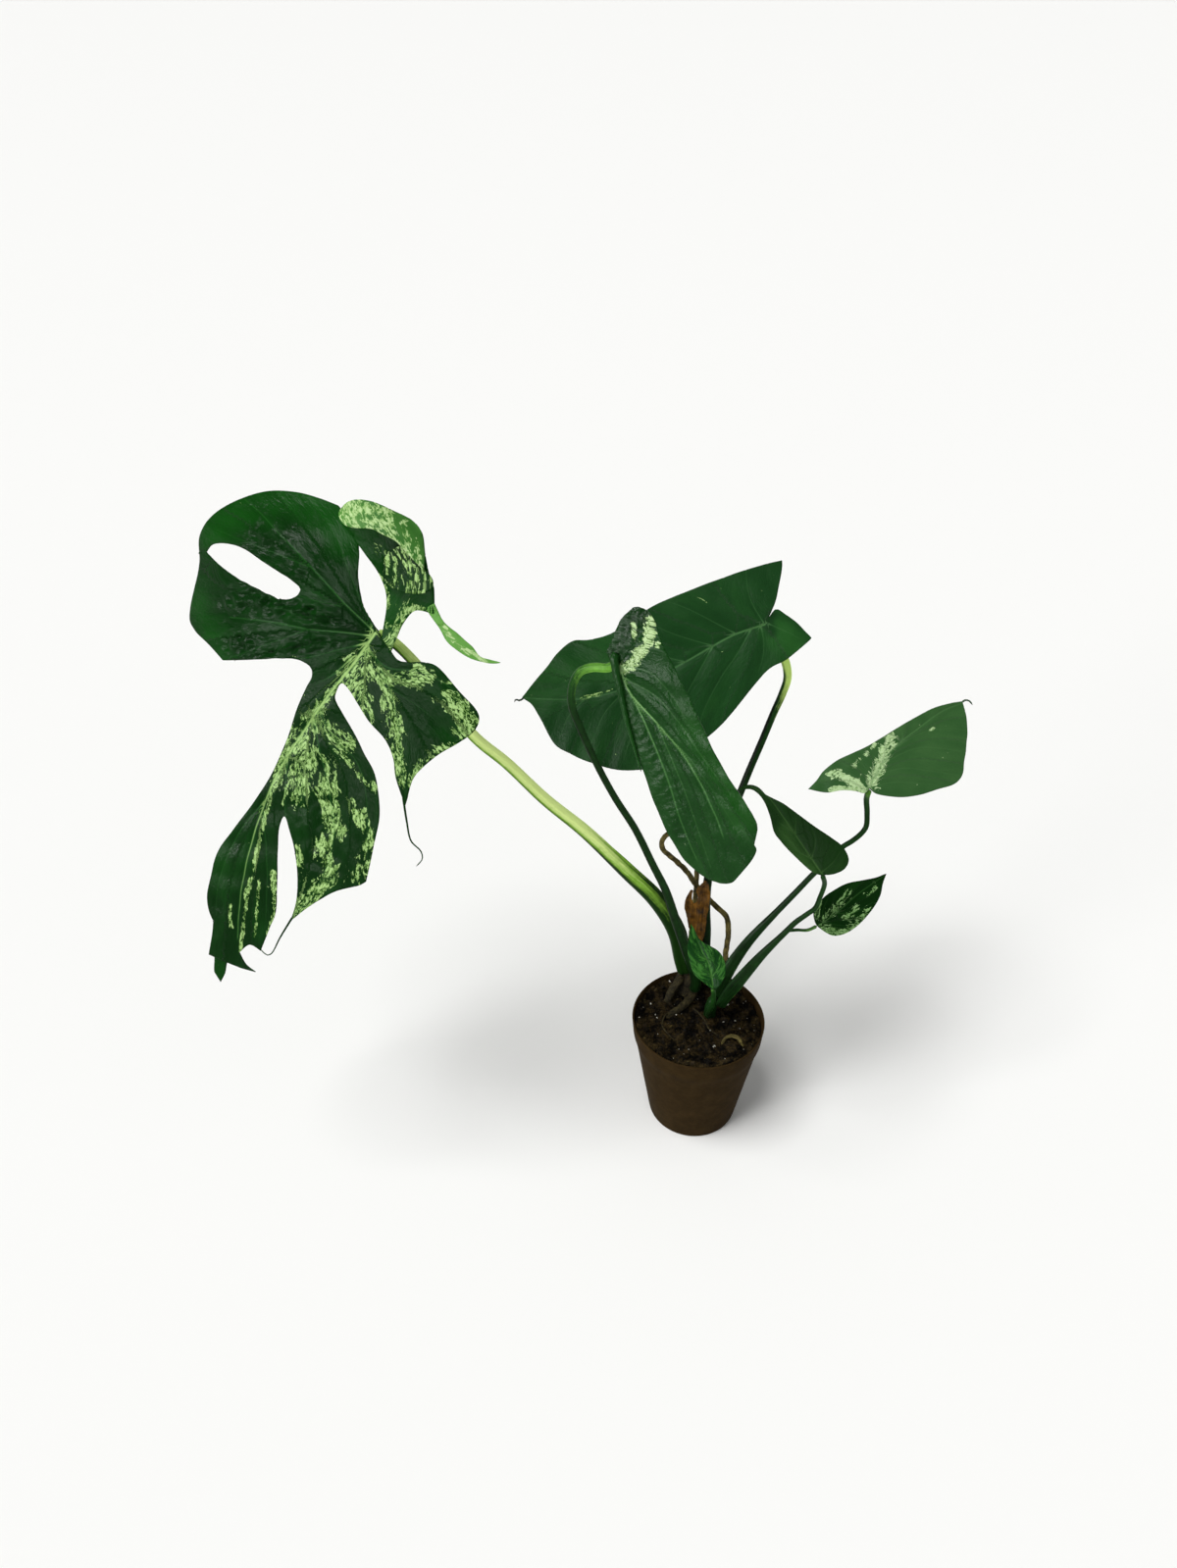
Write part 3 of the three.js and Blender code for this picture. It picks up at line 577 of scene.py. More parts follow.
@dataclass(frozen=True)
class LeafFinish:
    """Living leaf of an aroid: a waxy skin over deep green tissue, marbled where tissue has none.

    The wax gives soft highlights that break up over the puckers between the veins. The marbling
    is a lace of pale tissue, peppered with green cells and drawn out along the veins. Its cells
    are drawn at about twice their real size, so that they show. cell and blotch are the widths
    of its cells and patches in millimetres, and stretch how much longer than wide they are. A
    vein is thin_vein wide to each side, and thick_vein more where it is brightest. Patches and
    cells each have a soft edge between two values of their noise.
    """

    name: str
    deep: str
    green: str
    fresh: str
    rib: str
    midrib: str = "#9cc070"
    veiled: str = "#44702e"
    pale: str = "#769a50"
    cream: str = "#a6c880"
    roughness: float = 0.25
    specular: float = 0.03
    cell: float = 1.6
    blotch: float = 8.0
    stretch: float = 2.4
    solid: float = 0.1
    bump: float = 0.5
    wrinkle: float = 0.5
    thin_vein: float = 0.4
    thick_vein: float = 1.8
    patch_edge: Point2 = (0.93, 0.95)
    cell_edge: Point2 = (0.83, 0.86)

    def marbled(self, tree: Tree, drawn: Socket, tissue: Socket) -> Socket:
        """Lays the marbling over the green tissue.

        Args:
            tree: the material's node tree.
            drawn: the grain, stretched along the veins.
            tissue: the tissue's colour.

        Returns:
            The colour of both.
        """
        pale = value_of(tree, "pale")
        dotted = squeezed(tree, grain_of(tree), (1.1 / self.stretch, 1, 1))
        lace = noise(tree, dotted, 1000 / self.cell, 3, 0.7, 0.6)
        broad = noise(tree, drawn, 1000 / self.blotch, 3, 0.66, 0.8)
        ragged = reckoned(tree, "MULTIPLY_ADD", pale, 0.56, broad)
        reach = reckoned(tree, "MULTIPLY_ADD", lace, 0.3, ragged)
        patch = stepped(tree, reach, *self.patch_edge)
        dense = reckoned(tree, "MULTIPLY_ADD", pale, self.solid, lace)
        filled = reckoned(tree, "MULTIPLY_ADD", broad, 0.6, dense)
        cells = stepped(tree, filled, *self.cell_edge)
        bleached = toned(tree, filled, (0.84, self.veiled), (0.91, self.pale), (1.0, self.cream))
        return mixed(tree, reckoned(tree, "MULTIPLY", patch, cells), tissue, bleached)

    def veined(self, tree: Tree, colour: Socket) -> Socket:
        """Draws the veins, which run where the grain's second number is 0.

        Args:
            tree: the material's node tree.
            colour: the leaf's colour.

        Returns:
            The colour with its veins.
        """
        vein = value_of(tree, "vein")
        place = add(tree, "ShaderNodeSeparateXYZ", inputs={"Vector": grain_of(tree)})
        aside = reckoned(tree, "ABSOLUTE", place.outputs["Y"])
        breadth = reckoned(tree, "MULTIPLY_ADD", vein, self.thick_vein * MM, self.thin_vein * MM)
        line = stepped(tree, aside, 0.0, breadth, (1.0, 0.0))
        drawn = reckoned(tree, "MULTIPLY", line, vein)
        nerve = toned(tree, drawn, (0.4, self.rib), (0.7, self.midrib))
        return mixed(tree, drawn, colour, nerve)

    def material(self) -> Material:
        """Builds the leaf's material.

        Returns:
            A material that reads the piece's grain and its pale, vein and tint values.
        """
        material = started(self.name)
        tree = material.node_tree
        drawn = squeezed(tree, grain_of(tree), (1 / self.stretch, 1, 1))
        shade = noise(tree, drawn, 40, 3, 0.6)
        depth = reckoned(tree, "MULTIPLY_ADD", shade, 0.5, value_of(tree, "tint"), clamp=True)
        tissue = toned(tree, depth, (0.1, self.deep), (0.55, self.green), (1.0, self.fresh))
        colour = self.veined(tree, self.marbled(tree, drawn, tissue))
        skin = noise(tree, drawn, 900, 2, 0.5)
        folds = noise(tree, drawn, 160, 2, 0.5)
        relief = reckoned(tree, "MULTIPLY_ADD", folds, 3.0, skin)
        gloss = add(tree, "ShaderNodeMapRange", inputs={
            "Value": shade, "From Min": 0.3, "From Max": 0.7,
            "To Min": self.roughness - 0.06, "To Max": self.roughness + 0.1})
        surfaced(tree, {
            "Base Color": colour, "Roughness": gloss.outputs["Result"], "IOR": 1.45,
            "Specular IOR Level": self.specular,
            "Normal": bumped(tree, relief, self.bump, self.wrinkle * MM)})
        return material


@dataclass(frozen=True)
class StalkFinish:
    """Petiole skin: smooth and waxy, finely ribbed lengthwise, from dark to yellow green."""

    name: str
    dark: str
    green: str
    ripe: str
    roughness: float = 0.38

    def material(self) -> Material:
        """Builds the stalk's material.

        Returns:
            A material that reads the piece's grain and its tint value.
        """
        material = started(self.name)
        tree = material.node_tree
        grain = grain_of(tree)
        fibre = noise(tree, squeezed(tree, grain, (0.06, 1, 1)), 900, 2, 0.6)
        spots = noise(tree, grain, 160, 3, 0.65)
        streak = reckoned(tree, "MULTIPLY_ADD", fibre, 0.35, value_of(tree, "tint"))
        depth = reckoned(tree, "MULTIPLY_ADD", spots, 0.25, streak, clamp=True)
        surfaced(tree, {
            "Base Color": toned(tree, depth, (0.2, self.dark), (0.6, self.green), (1.0, self.ripe)),
            "Roughness": self.roughness, "IOR": 1.45, "Specular IOR Level": 0.06,
            "Normal": bumped(tree, fibre, 0.3, 0.3 * MM)})
        return material


@dataclass(frozen=True)
class BarkFinish:
    """Dull plant skin, such as old stem, root or dried husk: matt, fibrous and stained.

    fibre is the spacing of its fibres in millimetres, and stretch how much longer than wide
    their marks are.
    """

    name: str
    dark: str
    light: str
    fibre: float
    stretch: float
    roughness: float = 0.8
    bump: float = 0.7

    def material(self) -> Material:
        """Builds the bark's material.

        Returns:
            A material that reads the piece's grain.
        """
        material = started(self.name)
        tree = material.node_tree
        grain = grain_of(tree)
        drawn = squeezed(tree, grain, (1 / self.stretch, 1, 1))
        fibres = noise(tree, drawn, 1000 / self.fibre, 5, 0.7)
        tone = reckoned(tree, "MULTIPLY", fibres, noise(tree, grain, 120, 3, 0.6))
        surfaced(tree, {
            "Base Color": toned(tree, tone, (0.12, self.dark), (0.42, self.light)),
            "Roughness": self.roughness, "IOR": 1.4, "Specular IOR Level": 0.1,
            "Normal": bumped(tree, fibres, self.bump, MM)})
        return material


@dataclass(frozen=True)
class GroundFinish:
    """Loose matter such as peat or perlite: matt, with grains of its own size in millimetres."""

    name: str
    dark: str
    light: str
    grain: float
    roughness: float = 0.9
    bump: float = 0.8

    def material(self) -> Material:
        """Builds the loose matter's material.

        Returns:
            A material that reads Object coordinates.
        """
        material = started(self.name)
        tree = material.node_tree
        place = add(tree, "ShaderNodeTexCoord").outputs["Object"]
        crumbs = noise(tree, place, 1000 / self.grain, 6, 0.75, flat=False)
        patches = noise(tree, place, 110, 3, 0.6, flat=False)
        tone = reckoned(tree, "MULTIPLY", crumbs, patches)
        surfaced(tree, {
            "Base Color": toned(tree, tone, (0.21, self.dark), (0.4, self.light)),
            "Roughness": self.roughness, "IOR": 1.4, "Specular IOR Level": 0.1,
            "Normal": bumped(tree, crumbs, self.bump, 2.5 * MM)})
        return material


@dataclass(frozen=True)
class PotPlastic:
    """Injection moulded polypropylene: satin, faintly mottled, with fine scuffs round the wall."""

    name: str = "moulded_polypropylene"
    brown: str = "#2d2212"
    worn: str = "#392c18"

    def material(self) -> Material:
        """Builds the pot's material.

        Returns:
            A material that reads Object coordinates.
        """
        material = started(self.name)
        tree = material.node_tree
        place = add(tree, "ShaderNodeTexCoord").outputs["Object"]
        mottle = noise(tree, place, 90, 4, 0.6, flat=False)
        scuffs = noise(tree, squeezed(tree, place, (1, 1, 7)), 260, 3, 0.6, flat=False)
        wear = reckoned(tree, "MULTIPLY", mottle, scuffs)
        satin = noise(tree, place, 2500, 2, 0.5, flat=False)
        surfaced(tree, {
            "Base Color": toned(tree, wear, (0.18, self.brown), (0.42, self.worn)),
            "Roughness": 0.5, "IOR": 1.49, "Specular IOR Level": 0.005,
            "Normal": bumped(tree, satin, 0.12, 0.2 * MM)})
        return material


@dataclass(frozen=True)
class Vein:
    """A vein in a leaf's chart, sunk into the upper face and raised under it.

    width is how far it reaches aside at its foot and at its end. depth is how far it is sunk,
    rib how much that thickens the leaf and colour how bright it is, all at its foot, and the
    losses are the shares of them that are gone at its end. glow is how much wider than the
    groove its colour is, and fade where it runs out, before and after its end.
    """

    line: Run
    width: Point2 = (1.6, 0.8)
    depth: float = 0.5
    colour: float = 0.5
    rib: float = 1.4
    depth_loss: float = 0.6
    rib_loss: float = 0.7
    colour_loss: float = 0.5
    glow: float = 2.2
    fade: Point2 = (-1, 3)

    def traced(self) -> tuple[list[Point2], float]:
        """The vein's smooth line.

        Returns:
            Its points, run on straight past its end so that the grain goes on there, and its
            length without that.
        """
        line = smooth_run(self.line, VEIN_STEP)
        length = sum(math.dist(a, b) for a, b in zip(line, line[1:]))
        ahead = (line[-1][0] - line[-2][0], line[-1][1] - line[-2][1])
        reach = RUN_ON / math.hypot(*ahead)
        line.append((line[-1][0] + ahead[0] * reach, line[-1][1] + ahead[1] * reach))
        return line, length


@dataclass(frozen=True)
class Stroke:
    """A soft band along points of the chart: its half width, and its strength at the middle."""

    line: Run
    reach: float
    strength: float = 1.0


def stroked(x: Array, y: Array, strokes: tuple[Stroke, ...]) -> Array:
    """The strongest of some strokes at each point.

    Args:
        x, y: the points.
        strokes: the strokes.

    Returns:
        Values from 0 up to the strokes' strengths.
    """
    total = np.zeros(x.shape)
    for stroke in strokes:
        distance, _, _ = nearest(x, y, smooth_run(stroke.line, STROKE_STEP))
        total = np.maximum(total, stroke.strength * (1 - smoothstep(distance, 0, stroke.reach)))
    return total


@dataclass(frozen=True)
class Folds:
    """Where and how far the split leaf's folded parts stand off it, in its chart.

    The lobe curls up from its foot at a slope. A cap and a flap rise from their edges off the
    curl, the tail keeps the height of its lowest point, and the tongue drops. relief and veins
    are what is left of both there.
    """

    slope: float = 0.22
    foot: float = 4
    cap_middle: Point2 = (-2, 40)
    cap_radius: float = 47
    cap_height: float = 10
    cap_edge: float = 6
    flap_left: float = 8
    flap_foot: float = 1
    flap_height: float = 5
    flap_edge: float = 7
    tail_low: float = 16
    tongue_drop: float = 5
    tongue_fold: Point2 = (256, 276)
    relief: float = 0.25
    veins: float = 0.3

    def curl(self, y: Array) -> Array:
        """The curled lobe's height."""
        return self.slope * np.maximum(0, y - self.foot)

    def cap(self, x: Array, y: Array) -> Array:
        """The cap's height over the curl."""
        from_middle = np.hypot(x - self.cap_middle[0], y - self.cap_middle[1])
        return self.cap_height * rising(np.maximum(self.cap_radius - from_middle, 0), self.cap_edge)

    def flap(self, x: Array) -> Array:
        """The rise of the flap from its left edge."""
        return self.flap_height * rising(np.maximum(x - self.flap_left, 0), self.flap_edge)


class Lift(Enum):
    """How far a sheet stands off its blade."""

    FLAT = "flat"
    CURL = "curl"
    CAP = "cap"
    FLAP = "flap"
    TAIL = "tail"
    TONGUE = "tongue"

    def at(self, x: Array, y: Array) -> Array:
        """The sheet's height over the blade.

        Args:
            x, y: points of the chart.

        Returns:
            The height at each.
        """
        if self is Lift.CURL:
            return FOLDS.curl(y)
        if self is Lift.CAP:
            return FOLDS.curl(y) + FOLDS.cap(x, y)
        if self is Lift.FLAP:
            return FOLDS.curl(y) + FOLDS.flap_foot + FOLDS.flap(x)
        if self is Lift.TAIL:
            return FOLDS.curl(np.maximum(y, FOLDS.tail_low))
        if self is Lift.TONGUE:
            return -FOLDS.tongue_drop * smoothstep(-y, *FOLDS.tongue_fold)
        return np.zeros(x.shape)


@dataclass(frozen=True)
class Sheet:
    """One sheet of a blade, with the colours that are its own."""

    edge: tuple[Run, ...]
    holes: tuple[Run, ...] = ()
    lift: Lift = Lift.FLAT
    face: Face = Face.UPPER
    pale: tuple[Stroke, ...] = ()
    tint: float = 0.3
    marbling: float = 0.0


@dataclass
class Blade:
    """A leaf blade: a chart with a seat at its petiole, turned about Z and leant back.

    The chart's middle line runs from the seat to the tip, and sags aside. The blade is creased
    along it, rolls down at its left and right, and bends down ahead and behind, with ripples
    between its side veins. Its veins quilt it, and the puckers crumple it in between. wall is its
    thickness, and rib_wall the most that it has along a vein. Its tint is raised by brighter
    in the bright strokes and lowered by duller in the dull strokes; the split leaf's bright
    strokes are painted light on its margins, and the heart leaf's dull stroke is painted shadow
    at its seat.
    """

    name: str
    seat: Point3
    turn: float
    lean: float
    tip: Point2
    crease: float
    roll: Point2
    arch: float
    back: float
    vein_pitch: float
    step: float
    sheets: tuple[Sheet, ...]
    veins: tuple[Vein, ...]
    upper: LeafFinish
    slot: str
    sag: float = 0
    ripple: float = 0
    puckers: tuple[Stroke, ...] = ()
    bright: tuple[Stroke, ...] = ()
    darkened: tuple[Stroke, ...] = ()
    quilt: float = 0.5
    pucker: float = 1.0
    pucker_size: float = 9.0
    pucker_grain: Point2 = (0.5, 70)
    seed: int = 1
    threads: tuple[tuple[Run, Point2], ...] = ()
    thread_lift: float = 0.0
    thread_tint: Point2 = (0.3, 0.5)
    crease_width: float = 3
    ripple_slant: float = 0.7
    ripple_reach: float = 18
    wall: float = 0.8
    rib_wall: float = 3.2
    brighter: float = 0.35
    darkening: float = 0.3
    quilt_reach: float = 7
    calm_reach: float = 3

    def height(self, x: Array, y: Array) -> Array:
        """Height of the blade's middle over its chart, as in the part's source.

        Args:
            x, y: points of the chart.

        Returns:
            The height at each.
        """
        length = math.hypot(*self.tip)
        ex, ey = self.tip[0] / length, self.tip[1] / length
        along = x * ex + y * ey
        t = np.clip(along / length, 0, 1)
        beside = x * ey - y * ex - self.sag * 4 * t * (1 - t)
        slanted = along - self.ripple_slant * np.abs(beside)
        wave = np.sin(2 * math.pi * slanted / self.vein_pitch)
        crease = np.sqrt(beside**2 + self.crease_width**2) - self.crease_width
        roll = np.where(beside < 0, self.roll[0], self.roll[1])
        bend = np.where(along > 0, self.arch, self.back)
        return (self.crease * crease - roll * beside**2 - bend * along**2
                + self.ripple * wave * rising(np.abs(beside), self.ripple_reach))

    def crumple(self, x: Array, y: Array) -> Array:
        """Fine waves, stretched out from the seat or round it by the pucker's grain.

        Args:
            x, y: points of the chart.

        Returns:
            Values mostly between -1 and 1.
        """
        out = np.hypot(x, y) * self.pucker_grain[0]
        around = np.arctan2(y, x + 1e-6) * self.pucker_grain[1]
        return (ripples(out, around, self.pucker_size, self.seed, PUCKER_WAVES)
                + 0.6 * ripples(out, around, self.pucker_size * 0.55, self.seed + 1, PUCKER_WAVES))

    def relief(self, x: Array, y: Array) -> dict[str, Array]:
        """The veins' grooves, the swelling between them, and the grain that they give.

        Args:
            x, y: points of the chart.

        Returns:
            height, vein (colour), rib (thickness), along and across at each point.
        """
        sunk, colour, rib, along, across = (np.zeros(x.shape) for _ in range(5))
        close = np.full(x.shape, FAR)
        for index, vein in enumerate(self.veins):
            line, length = vein.traced()
            distance, signed, run = nearest(x, y, line)
            t = np.minimum(run / length, 1)
            width = vein.width[0] + (vein.width[1] - vein.width[0]) * t
            ends = 1 - smoothstep(run, length + vein.fade[0], length + vein.fade[1])
            profile = np.exp(-(distance / width) ** 2) * ends
            sunk = np.maximum(sunk, vein.depth * (1 - vein.depth_loss * t) * profile)
            raised = vein.rib * vein.depth * (1 - vein.rib_loss * t)
            rib = np.maximum(rib, raised * profile)
            broad = np.exp(-(distance / (vein.glow * width)) ** 2) * ends
            bright = vein.colour * (1 - vein.colour_loss * t)
            colour = np.maximum(colour, bright * broad)
            closer = distance < close
            along = np.where(closer, run + VEIN_GAP * index, along)
            across = np.where(closer, signed, across)
            close = np.where(closer, distance, close)
        loose = self.pucker * stroked(x, y, self.puckers)
        height = (self.quilt * rising(close, self.quilt_reach) - sunk
                  + loose * self.crumple(x, y) * rising(close, self.calm_reach))
        return {"height": height, "vein": colour, "rib": rib, "along": along, "across": across}

    def sheet(self, index: int, sheet: Sheet, faces: list[Material]) -> Object:
        """Builds one sheet of the blade.

        Args:
            index: its number, for its name.
            sheet: the sheet.
            faces: materials of the upper and the under face.

        Returns:
            The sheet as an object.
        """
        mesh = flat_sheet(sheet.edge, sheet.holes, self.step * (1))
        x, y, _ = points_of(mesh).T
        relief = self.relief(x, y)
        calm, faded = (1, 1) if sheet.lift is Lift.FLAT else (FOLDS.relief, FOLDS.veins)
        height = (self.height(x, y) + sheet.lift.at(x, y) + calm * relief["height"]
                  + self.wall / 2)
        set_value(mesh, "pale", np.maximum(stroked(x, y, sheet.pale), sheet.marbling))
        set_value(mesh, "vein", relief["vein"] * faded)
        set_value(mesh, "tint", sheet.tint + self.brighter * stroked(x, y, self.bright)
                  - self.darkening * stroked(x, y, self.darkened))
        set_grain(mesh, relief["along"], relief["across"])
        set_points(mesh, np.stack([x, y, height], axis=1))
        mesh.transform(chart_matrix(self.seat, self.turn, self.lean))
        order = faces if sheet.face is Face.UPPER else faces[::-1]
        piece = piece_of(f"{self.name}_sheet_{index}", mesh, order)
        ribs = piece.vertex_groups.new(name="ribs")
        thick = np.clip((self.wall + relief["rib"] * calm) / self.rib_wall, 0, 1)
        levels = np.round(thick, 2)
        for level in np.unique(levels):
            ribs.add(np.nonzero(levels == level)[0].tolist(), float(level), "REPLACE")
        wall = piece.modifiers.new("thickness", "SOLIDIFY")
        wall.thickness = self.rib_wall * MM
        wall.offset = -1
        wall.vertex_group = "ribs"
        wall.thickness_vertex_group = 0
        wall.use_even_offset = False
        wall.material_offset = 1
        wall.material_offset_rim = 0
        return baked(piece)

    def thread(self, index: int, line: Run, radii: Point2, finish: Material) -> Object:
        """Builds a cord that lies on the blade, such as a curled tip.

        Args:
            index: its number, for its name.
            line: points of the chart.
            radii: its radius at its first and last point.
            finish: its material.

        Returns:
            The cord as an object.
        """
        x, y = np.array(line, dtype=float).T
        path = np.stack([x, y, self.height(x, y) + self.thread_lift], axis=1)
        thread = Limb(f"{self.name}_thread_{index}", [tuple(place) for place in path],
                      tuple((2 * radius, 2 * radius) for radius in radii),
                      tint=tuple(enumerate(self.thread_tint)))
        mesh = thread.mesh()
        set_value(mesh, "pale", 0.0)
        set_value(mesh, "vein", 0.0)
        mesh.transform(chart_matrix(self.seat, self.turn, self.lean))
        return piece_of(thread.name, mesh, [finish])

    def build(self) -> Object:
        """Builds the blade from its sheets and threads.

        Returns:
            The finished piece.
        """
        faces = [self.upper.material(), LEAF_UNDER.material()]
        parts = [self.sheet(i, sheet, faces) for i, sheet in enumerate(self.sheets)]
        parts += [self.thread(i, line, radii, faces[0])
                  for i, (line, radii) in enumerate(self.threads)]
        piece = joined(f"{self.name}_foliage", parts)
        hand_over(piece, (f"{self.name}_blade",))
        return piece


@dataclass(frozen=True)
class Ridge:
    """A wing along a limb, or a channel where its height is below nothing.

    turn and reach are degrees round the limb, from its right or upper side towards the sight,
    and height is a share of the limb's radius. start, end, run_in and run_out are shares of the
    limb's length.
    """

    turn: float
    reach: float
    height: float
    start: float = -1.0
    end: float = 2.0
    tint: float = 0.0
    run_in: float = 0.08
    run_out: float = 0.12

    def at(self, degrees: Array, share: Array) -> Array:
        """How much of the ridge there is.

        Args:
            degrees: places round the limb.
            share: places along it.

        Returns:
            Values from 0 to 1.
        """
        away = (degrees - self.turn + 180) % 360 - 180
        return (np.exp(-(away / self.reach) ** 2)
                * smoothstep(share, self.start, self.start + self.run_in)
                * (1 - smoothstep(share, self.end - self.run_out, self.end)))


@dataclass
class Limb:
    """A stem, petiole or root: a centre line from its foot up, and full widths along it.

    size holds its widths across and along the line of sight, and tint the tint at places along
    it, from 0 to 1. Away from its lit side, underside is taken off the tint, as painted shade
    on the side that the light doesn't reach. dusk tells from how many to how many degrees away.
    swell holds places, reaches and heights of swellings.
    """

    name: str
    path: list[Point3]
    size: tuple[Point2, ...]
    finish: StalkFinish | BarkFinish | None = None
    slot: str = ""
    nodes: tuple[str, ...] = ()
    tint: tuple[Point2, ...] = ((0, 0.3), (1, 0.3))
    sides: int = 20
    pitch: float = 2.5
    ridges: tuple[Ridge, ...] = ()
    painted_shade: float = 0.0
    rough: float = 0.0
    rough_size: float = 8.0
    swell: tuple[Point3, ...] = ()
    seed: int = 3
    sight: Point3 = (0, -1, 0.4)
    lit_side: float = 40
    dusk: Point2 = (60, 105)

    def frames(self) -> tuple[Array, Array, Array, float]:
        """The centre line and the directions round it.

        Returns:
            The line's points, the directions across and towards the sight at each, and the
            line's length.
        """
        coarse = smooth_path(self.path, 80)
        length = float(np.sum(np.linalg.norm(np.diff(coarse, axis=0), axis=1)))
        centre = smooth_path(self.path, max(6, math.ceil(length / self.pitch)) + 1)
        tangent = np.gradient(centre, axis=0)
        tangent /= np.linalg.norm(tangent, axis=1)[:, None]
        across = np.cross(tangent, np.array(self.sight) / math.hypot(*self.sight[1:]))
        across /= np.linalg.norm(across, axis=1)[:, None]
        return centre, across, np.cross(across, tangent), length

    def lumps(self, along: Array, a: Array, b: Array) -> Array:
        """Random roughness, by places along the limb and across it."""
        return (ripples(along + 2 * a, a + 3 * b, self.rough_size, self.seed)
                + 0.5 * ripples(along - a, 2 * b - a, self.rough_size * 0.45, self.seed + 1))

    def mesh(self) -> Mesh:
        """Builds the limb's closed mesh, in millimetres, with its grain and tint.

        Returns:
            The mesh.
        """
        centre, across, out, length = self.frames()
        steps = len(centre) - 1
        mesh = grid_of(self.sides, steps, self.name)
        u, v, _ = points_of(mesh).T
        turn, v = 2 * math.pi * (u + 0.5), np.clip(v + 0.5, 0, 1)
        row = np.clip(np.round(v * steps).astype(int), 0, steps)
        knots = np.linspace(0, 1, len(self.size))
        width, thick = (np.interp(v, knots, sizes) / 2 for sizes in zip(*self.size))
        tint = np.interp(v, *zip(*self.tint))
        # Painted shade: underside is taken off the tint on the side that faces away from the light.
        away = np.abs((np.degrees(turn) - self.lit_side + 180) % 360 - 180)
        tint = tint - self.painted_shade * smoothstep(away, *self.dusk)
        ring = np.ones(len(v))
        for ridge in self.ridges:
            here = ridge.at(np.degrees(turn), v)
            ring = ring + ridge.height * here
            tint = tint + ridge.tint * here
        for place, reach, amount in self.swell:
            ring = ring + amount * np.exp(-((v * length - place) / reach) ** 2)
        if self.rough:
            lumps = self.lumps(v * length, np.cos(turn) * width, np.sin(turn) * width)
            ring = ring + self.rough * lumps
        cap = np.minimum(np.minimum(v, 1 - v) * length / np.maximum(thick, 0.3), 1)
        ring = ring * np.sqrt(np.clip(1 - (1 - cap) ** 2, 0.04, 1))
        set_points(mesh, centre[row] + across[row] * (width * ring * np.cos(turn))[:, None]
                   + out[row] * (thick * ring * np.sin(turn))[:, None])
        set_grain(mesh, v * length, turn * (width + thick) / 2)
        set_value(mesh, "tint", tint)
        closed(mesh)
        return mesh

    def build(self) -> Object:
        """Builds and dresses the limb.

        Returns:
            The finished piece.
        """
        mesh = self.mesh()
        mesh.transform(Matrix.Scale(MM, 4))
        piece = piece_of(self.name, mesh, [self.finish.material()])
        hand_over(piece, self.nodes)
        return piece


